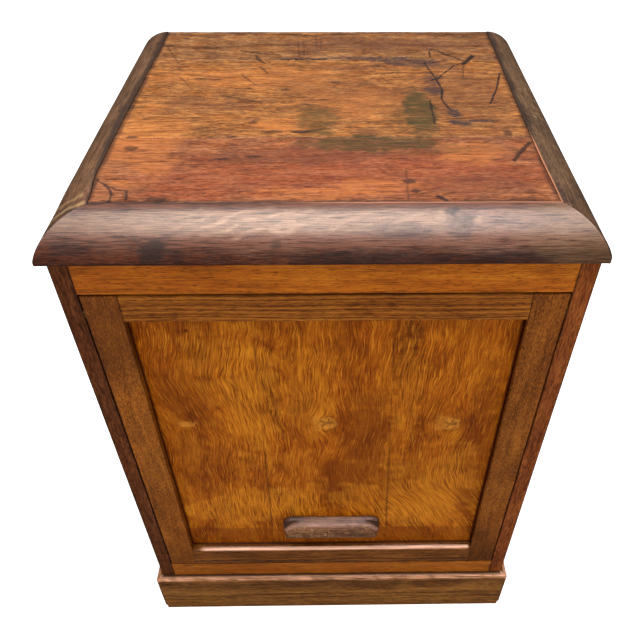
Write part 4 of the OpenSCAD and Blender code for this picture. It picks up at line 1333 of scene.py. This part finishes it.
def carcass():
    """The frame, sides and back, with the plinth's back board."""
    shown_half = box("door_stop_right")[1][0]
    member("side_front_stile_left", "stile_wood", STILE_LEFT_TONES, "z", 51, 0.6, 4, 0.4, ring=0.6)
    member("side_front_stile_right", "stile_wood", STILE_RIGHT_TONES, "z", 52, 0.6, 4, 0.4, ring=0.6)
    for seed, node, tones in ((53, "front_top_rail", RAIL_TONES), (54, "front_bottom_rail", LOW_RAIL_TONES)):
        member(node, "rail_wood", tones, "x", seed, 0.5, 5, 0.5, between(node, shown_half), ring_gap=6,
               ring=0.6, edge=2.2, fine=1.3, fine_size=(12.0, 0.8), fibre_size=(70.0, 1.2), warm_share=0.5)
    for side, seed in (("left", 70), ("right", 80)):
        member("side_rear_stile_" + side, "carcass_wood", SIDE_TONES, "z", seed, 1.0, 6, 0.8)
        member("side_top_rail_" + side, "carcass_wood", SIDE_TONES, "y", seed + 1, 0.6, 6, 0.5)
        member("side_bottom_rail_" + side, "carcass_wood", SIDE_TONES, "y", seed + 2, 0.6, 6, 0.5)
        member("side_panel_" + side, "carcass_wood", SIDE_PANEL_TONES, "z", seed + 3, 0.4, 8, 0.4,
               ring_wave=30, pith=(20, -25), ring=1.1)
    for seed, side in enumerate(("left", "middle", "right")):
        member("back_board_" + side, "back_wood", BACK_TONES, "z", 90 + seed, 0.8, 8, 0.7, pore=0.6,
               ring_wave=30, pith=(10, -20), rough=0.62, specular=0.2)
    for seed, node in enumerate(("back_top_rail", "back_bottom_rail", "top_back_strip")):
        member(node, "back_wood", BACK_TONES, "x", 95 + seed, 0.6, 10, 0.5, rough=0.6, specular=0.2)
    member("plinth_back", "plinth_wood", BACK_TONES, "x", 99, 0.8, 8, 0.6, rough=0.6, specular=0.2)


def inside():
    """The plain timber that is seen with the door up."""
    for seed, (node, axis) in enumerate((
        ("bottom_board_front", "x"), ("bottom_board_back", "x"), ("bearer_left", "y"),
        ("bearer_right", "y"), ("door_stop_left", "z"), ("door_stop_right", "z"),
        ("top_batten_left", "y"), ("top_batten_right", "y"), ("plinth_blocks", "z"),
    )):
        member(node, "inner_wood", INNER_TONES, axis, 120 + seed, 0.6, 12, 0.5, rough=0.66, specular=0.18,
               ring_wave=24, pith=(15, -18))


def door_frame():
    """Stiles and top rail of the door, with the shadow beside the panel painted on the stiles."""
    for seed, side in enumerate(("left", "right")):
        node = "door_stile_" + side
        shadow_y = PANEL_Y - (1.7 if side == "left" else 4.5)
        mesh = member(
            node, "door_frame_wood", DOOR_STILE_TONES[side], "z", 35 + seed, 0.9, 4, 0.8,
            depths=(shadow_y - 1.2, shadow_y), ring=0.5, edge=1.3, hair=0.15, fibre=0.6,
            fibre_size=(30.0, 1.4), fine=2.2, fine_size=(3.6, 0.8), glint=0.2, pore=0.3,
            pore_size=(3.0, 0.6), blotch=1.2,
            layers=(("foot", (62, 30, 8), 0.7, 0.8), ("shadow", (44, 5, 3), 0.95, 0.1)),
        ).data
        points, normals = mesh_points(mesh), mesh_normals(mesh)
        inner = (np.abs(points[:, 0]) < OPEN_HALF + 0.6) & (points[:, 1] > shadow_y - 0.3)
        paint(mesh, "shadow", inner * (np.abs(normals[:, 0]) > 0.3))
        foot = 1 - smooth(points[:, 2], 110, 190)
        head = smooth(points[:, 2], 400, 470)
        paint(mesh, "foot", np.maximum(0.5 * foot, 0.7 * head) if side == "left" else foot)
    node = "door_top_rail"
    member(node, "door_frame_wood", DOOR_RAIL_TONES, "x", 38, 0.6, 5, 0.5, between(node, OPEN_HALF),
           ring_gap=2.6, ring=1.9, ring_wave=9, ring_length=260, pith=(46, 8), fibre=1.0, fine=1.4, hair=0.3)


# ---------------------------------------------------------------- metal

def metal(name, tones, rust, seed):
    """Old metal: tarnish in clouds, fine scratches and spots of rust."""
    g = Graph(name)
    place = g.object_place()
    cloud = g.noise(g.stretch(place, 0.35, 0.35, 0.35), 4, 0.6, 0.5, seed)
    scratch = g.noise(g.stretch(place, 0.6, 6, 6), 2, 0.5, 0, seed + 3.0)
    tone = g.math("ADD", g.centred(cloud, 2.4), g.add(0.5, g.centred(scratch, 0.8)), clamp=True)
    dark, mid, light = (linear(colour) for colour in tones)
    colour = g.ramp(tone, [(0.0, dark), (0.5, mid), (1.0, light)])
    spots = g.step(g.noise(g.stretch(place, 0.8, 0.8, 0.8), 3, 0.6, 0, seed + 7.0), 0.5, 0.68)
    colour = g.mix(g.times(spots, 0.8), colour, linear(rust))
    shine = g.math("SUBTRACT", 0.9, g.times(spots, 0.7))
    rough = g.math("MULTIPLY_ADD", spots, 0.35, 0.36)
    relief = g.bump(g.add(scratch, g.times(cloud, 0.5)), 0.05)
    return g.surface(colour, rough, Normal=relief, Metallic=shine)


def metals():
    """Iron screws, nails and pins, and brass bushes, on the CAD's own meshes."""
    iron = metal("old_iron", ((40, 38, 36), (92, 88, 84), (150, 146, 140)), (92, 52, 30), 1.0)
    brass = metal("old_brass", ((96, 68, 26), (170, 132, 62), (222, 190, 112)), (84, 74, 40), 2.0)
    for node, piece in frame["nodes"].items():
        slot = "brass" if node.startswith("pivot_bush") else "iron"
        if slot == "brass" or node.endswith(("screws", "nails")) or node.startswith("pivot_pin"):
            piece.data.materials.clear()
            piece.data.materials.append(brass if slot == "brass" else iron)


# ---------------------------------------------------------------- the object

for index, (node, tones) in enumerate((
    ("top_board_front", TOP_FRONT_TONES),
    ("top_board_middle", TOP_MIDDLE_TONES),
    ("top_board_back", TOP_BACK_TONES),
)):
    top_board(node, 7 + index, tones)
border_front()
border_side(-1)
border_side(1)
plinth_board("plinth_front", 0)
plinth_board("plinth_left", -1)
plinth_board("plinth_right", 1)
for index, side in enumerate(("left", "middle", "right")):
    panel_board("door_board_" + side, 21 + index)
door_frame()
door_bottom_rail()
door_pull()
carcass()
inside()
metals()


# ---------------------------------------------------------------- floor, light and camera

FLOOR_HALF = 12   # in metres


def floor():
    """A pale floor that is white to the camera."""
    g = Graph("pale_floor")
    place = g.object_place()
    cloud = g.noise(g.stretch(place, 0.004, 0.004, 0.004), 3, 0.5)
    colour = g.ramp(cloud, [(0.3, (0.93, 0.93, 0.93, 1)), (0.7, (0.95, 0.95, 0.95, 1))])
    seen = g.node("ShaderNodeLightPath").outputs["Is Camera Ray"]
    g.surface(colour, 0.8, Specular_IOR_Level=0.1, Emission_Color=(1, 1, 1, 1),
              Emission_Strength=g.times(seen, 0.4))
    mesh = bpy.data.meshes.new("floor")
    corners = [(FLOOR_HALF * x, FLOOR_HALF * y, 0) for x, y in ((-1, -1), (1, -1), (1, 1), (-1, 1))]
    mesh.from_pydata(corners, [], [(0, 1, 2, 3)])
    mesh.materials.append(g.material)
    piece = bpy.data.objects.new("floor", mesh)
    piece.visible_glossy = False
    bpy.context.scene.collection.objects.link(piece)


def area_light(name, place, target, size, power, colour, shines=True):
    """A lamp aimed at a target; one that doesn't shine leaves no highlight."""
    data = bpy.data.lights.new(name, "AREA")
    data.shape = "RECTANGLE"
    data.size, data.size_y = size
    data.energy = power
    data.color = colour
    lamp = bpy.data.objects.new(name, data)
    lamp.location = place
    lamp.visible_glossy = shines
    lamp.rotation_euler = (Vector(target) - Vector(place)).to_track_quat("-Z", "Y").to_euler()
    bpy.context.scene.collection.objects.link(lamp)


def world():
    """White to the camera, soft to matt surfaces, and dim to shiny ones."""
    made = bpy.data.worlds.new("studio")
    made.use_nodes = True
    tree = made.node_tree
    tree.nodes.clear()

    def background(colour, strength):
        shader = tree.nodes.new("ShaderNodeBackground")
        shader.inputs["Color"].default_value = colour
        shader.inputs["Strength"].default_value = strength
        return shader.outputs[0]

    def choose(question, no, yes):
        shader = tree.nodes.new("ShaderNodeMixShader")
        for socket, value in zip(shader.inputs, (path.outputs[question], no, yes)):
            tree.links.new(value, socket)
        return shader.outputs[0]

    path = tree.nodes.new("ShaderNodeLightPath")
    soft = background((1.0, 0.985, 0.97, 1), 0.62)
    dim = background((0.95, 0.92, 0.95, 1), 0.05)
    white = background((1, 1, 1, 1), 1.0)
    light = choose("Is Glossy Ray", soft, dim)
    out = tree.nodes.new("ShaderNodeOutputWorld")
    tree.links.new(choose("Is Camera Ray", light, white), out.inputs[0])
    bpy.context.scene.world = made


CAMERA_PLACE = Vector((0.00908, -0.59615, 0.86768))
CAMERA_PITCH, CAMERA_YAW, CAMERA_ROLL = 43.128, 1.051, 0.354
CAMERA_LENS, CAMERA_SHIFT = 38.01, (-0.0423, 0.0150)


def camera():
    """The viewing angle: close, above the front, with a small sideways turn."""
    pitch, yaw, roll = (math.radians(a) for a in (CAMERA_PITCH, CAMERA_YAW, CAMERA_ROLL))
    ahead = Vector((math.sin(yaw) * math.cos(pitch), math.cos(yaw) * math.cos(pitch), -math.sin(pitch)))
    level = Vector((math.cos(yaw), -math.sin(yaw), 0))
    above = level.cross(ahead)
    right = math.cos(roll) * level + math.sin(roll) * above
    up = math.cos(roll) * above - math.sin(roll) * level
    data = bpy.data.cameras.new("camera")
    data.sensor_width = 36
    data.lens = CAMERA_LENS
    data.shift_x, data.shift_y = CAMERA_SHIFT
    data.clip_start = 0.02
    eye = bpy.data.objects.new("camera", data)
    eye.matrix_world = Matrix((
        (right.x, up.x, -ahead.x, CAMERA_PLACE.x), (right.y, up.y, -ahead.y, CAMERA_PLACE.y),
        (right.z, up.z, -ahead.z, CAMERA_PLACE.z), (0, 0, 0, 1),
    ))
    bpy.context.scene.collection.objects.link(eye)
    bpy.context.scene.camera = eye


floor()
world()
area_light("overhead", (0.05, -0.15, 2.3), (0.05, -0.15, 0.4), (1.8, 2.0), 76, (0.98, 0.97, 1.0))
area_light("front_fill", (-0.5, -2.6, 1.2), (0, 0, 0.3), (1.8, 1.4), 23, (1.0, 0.92, 0.78), False)
camera()
bpy.context.scene.view_settings.view_transform = "Standard"
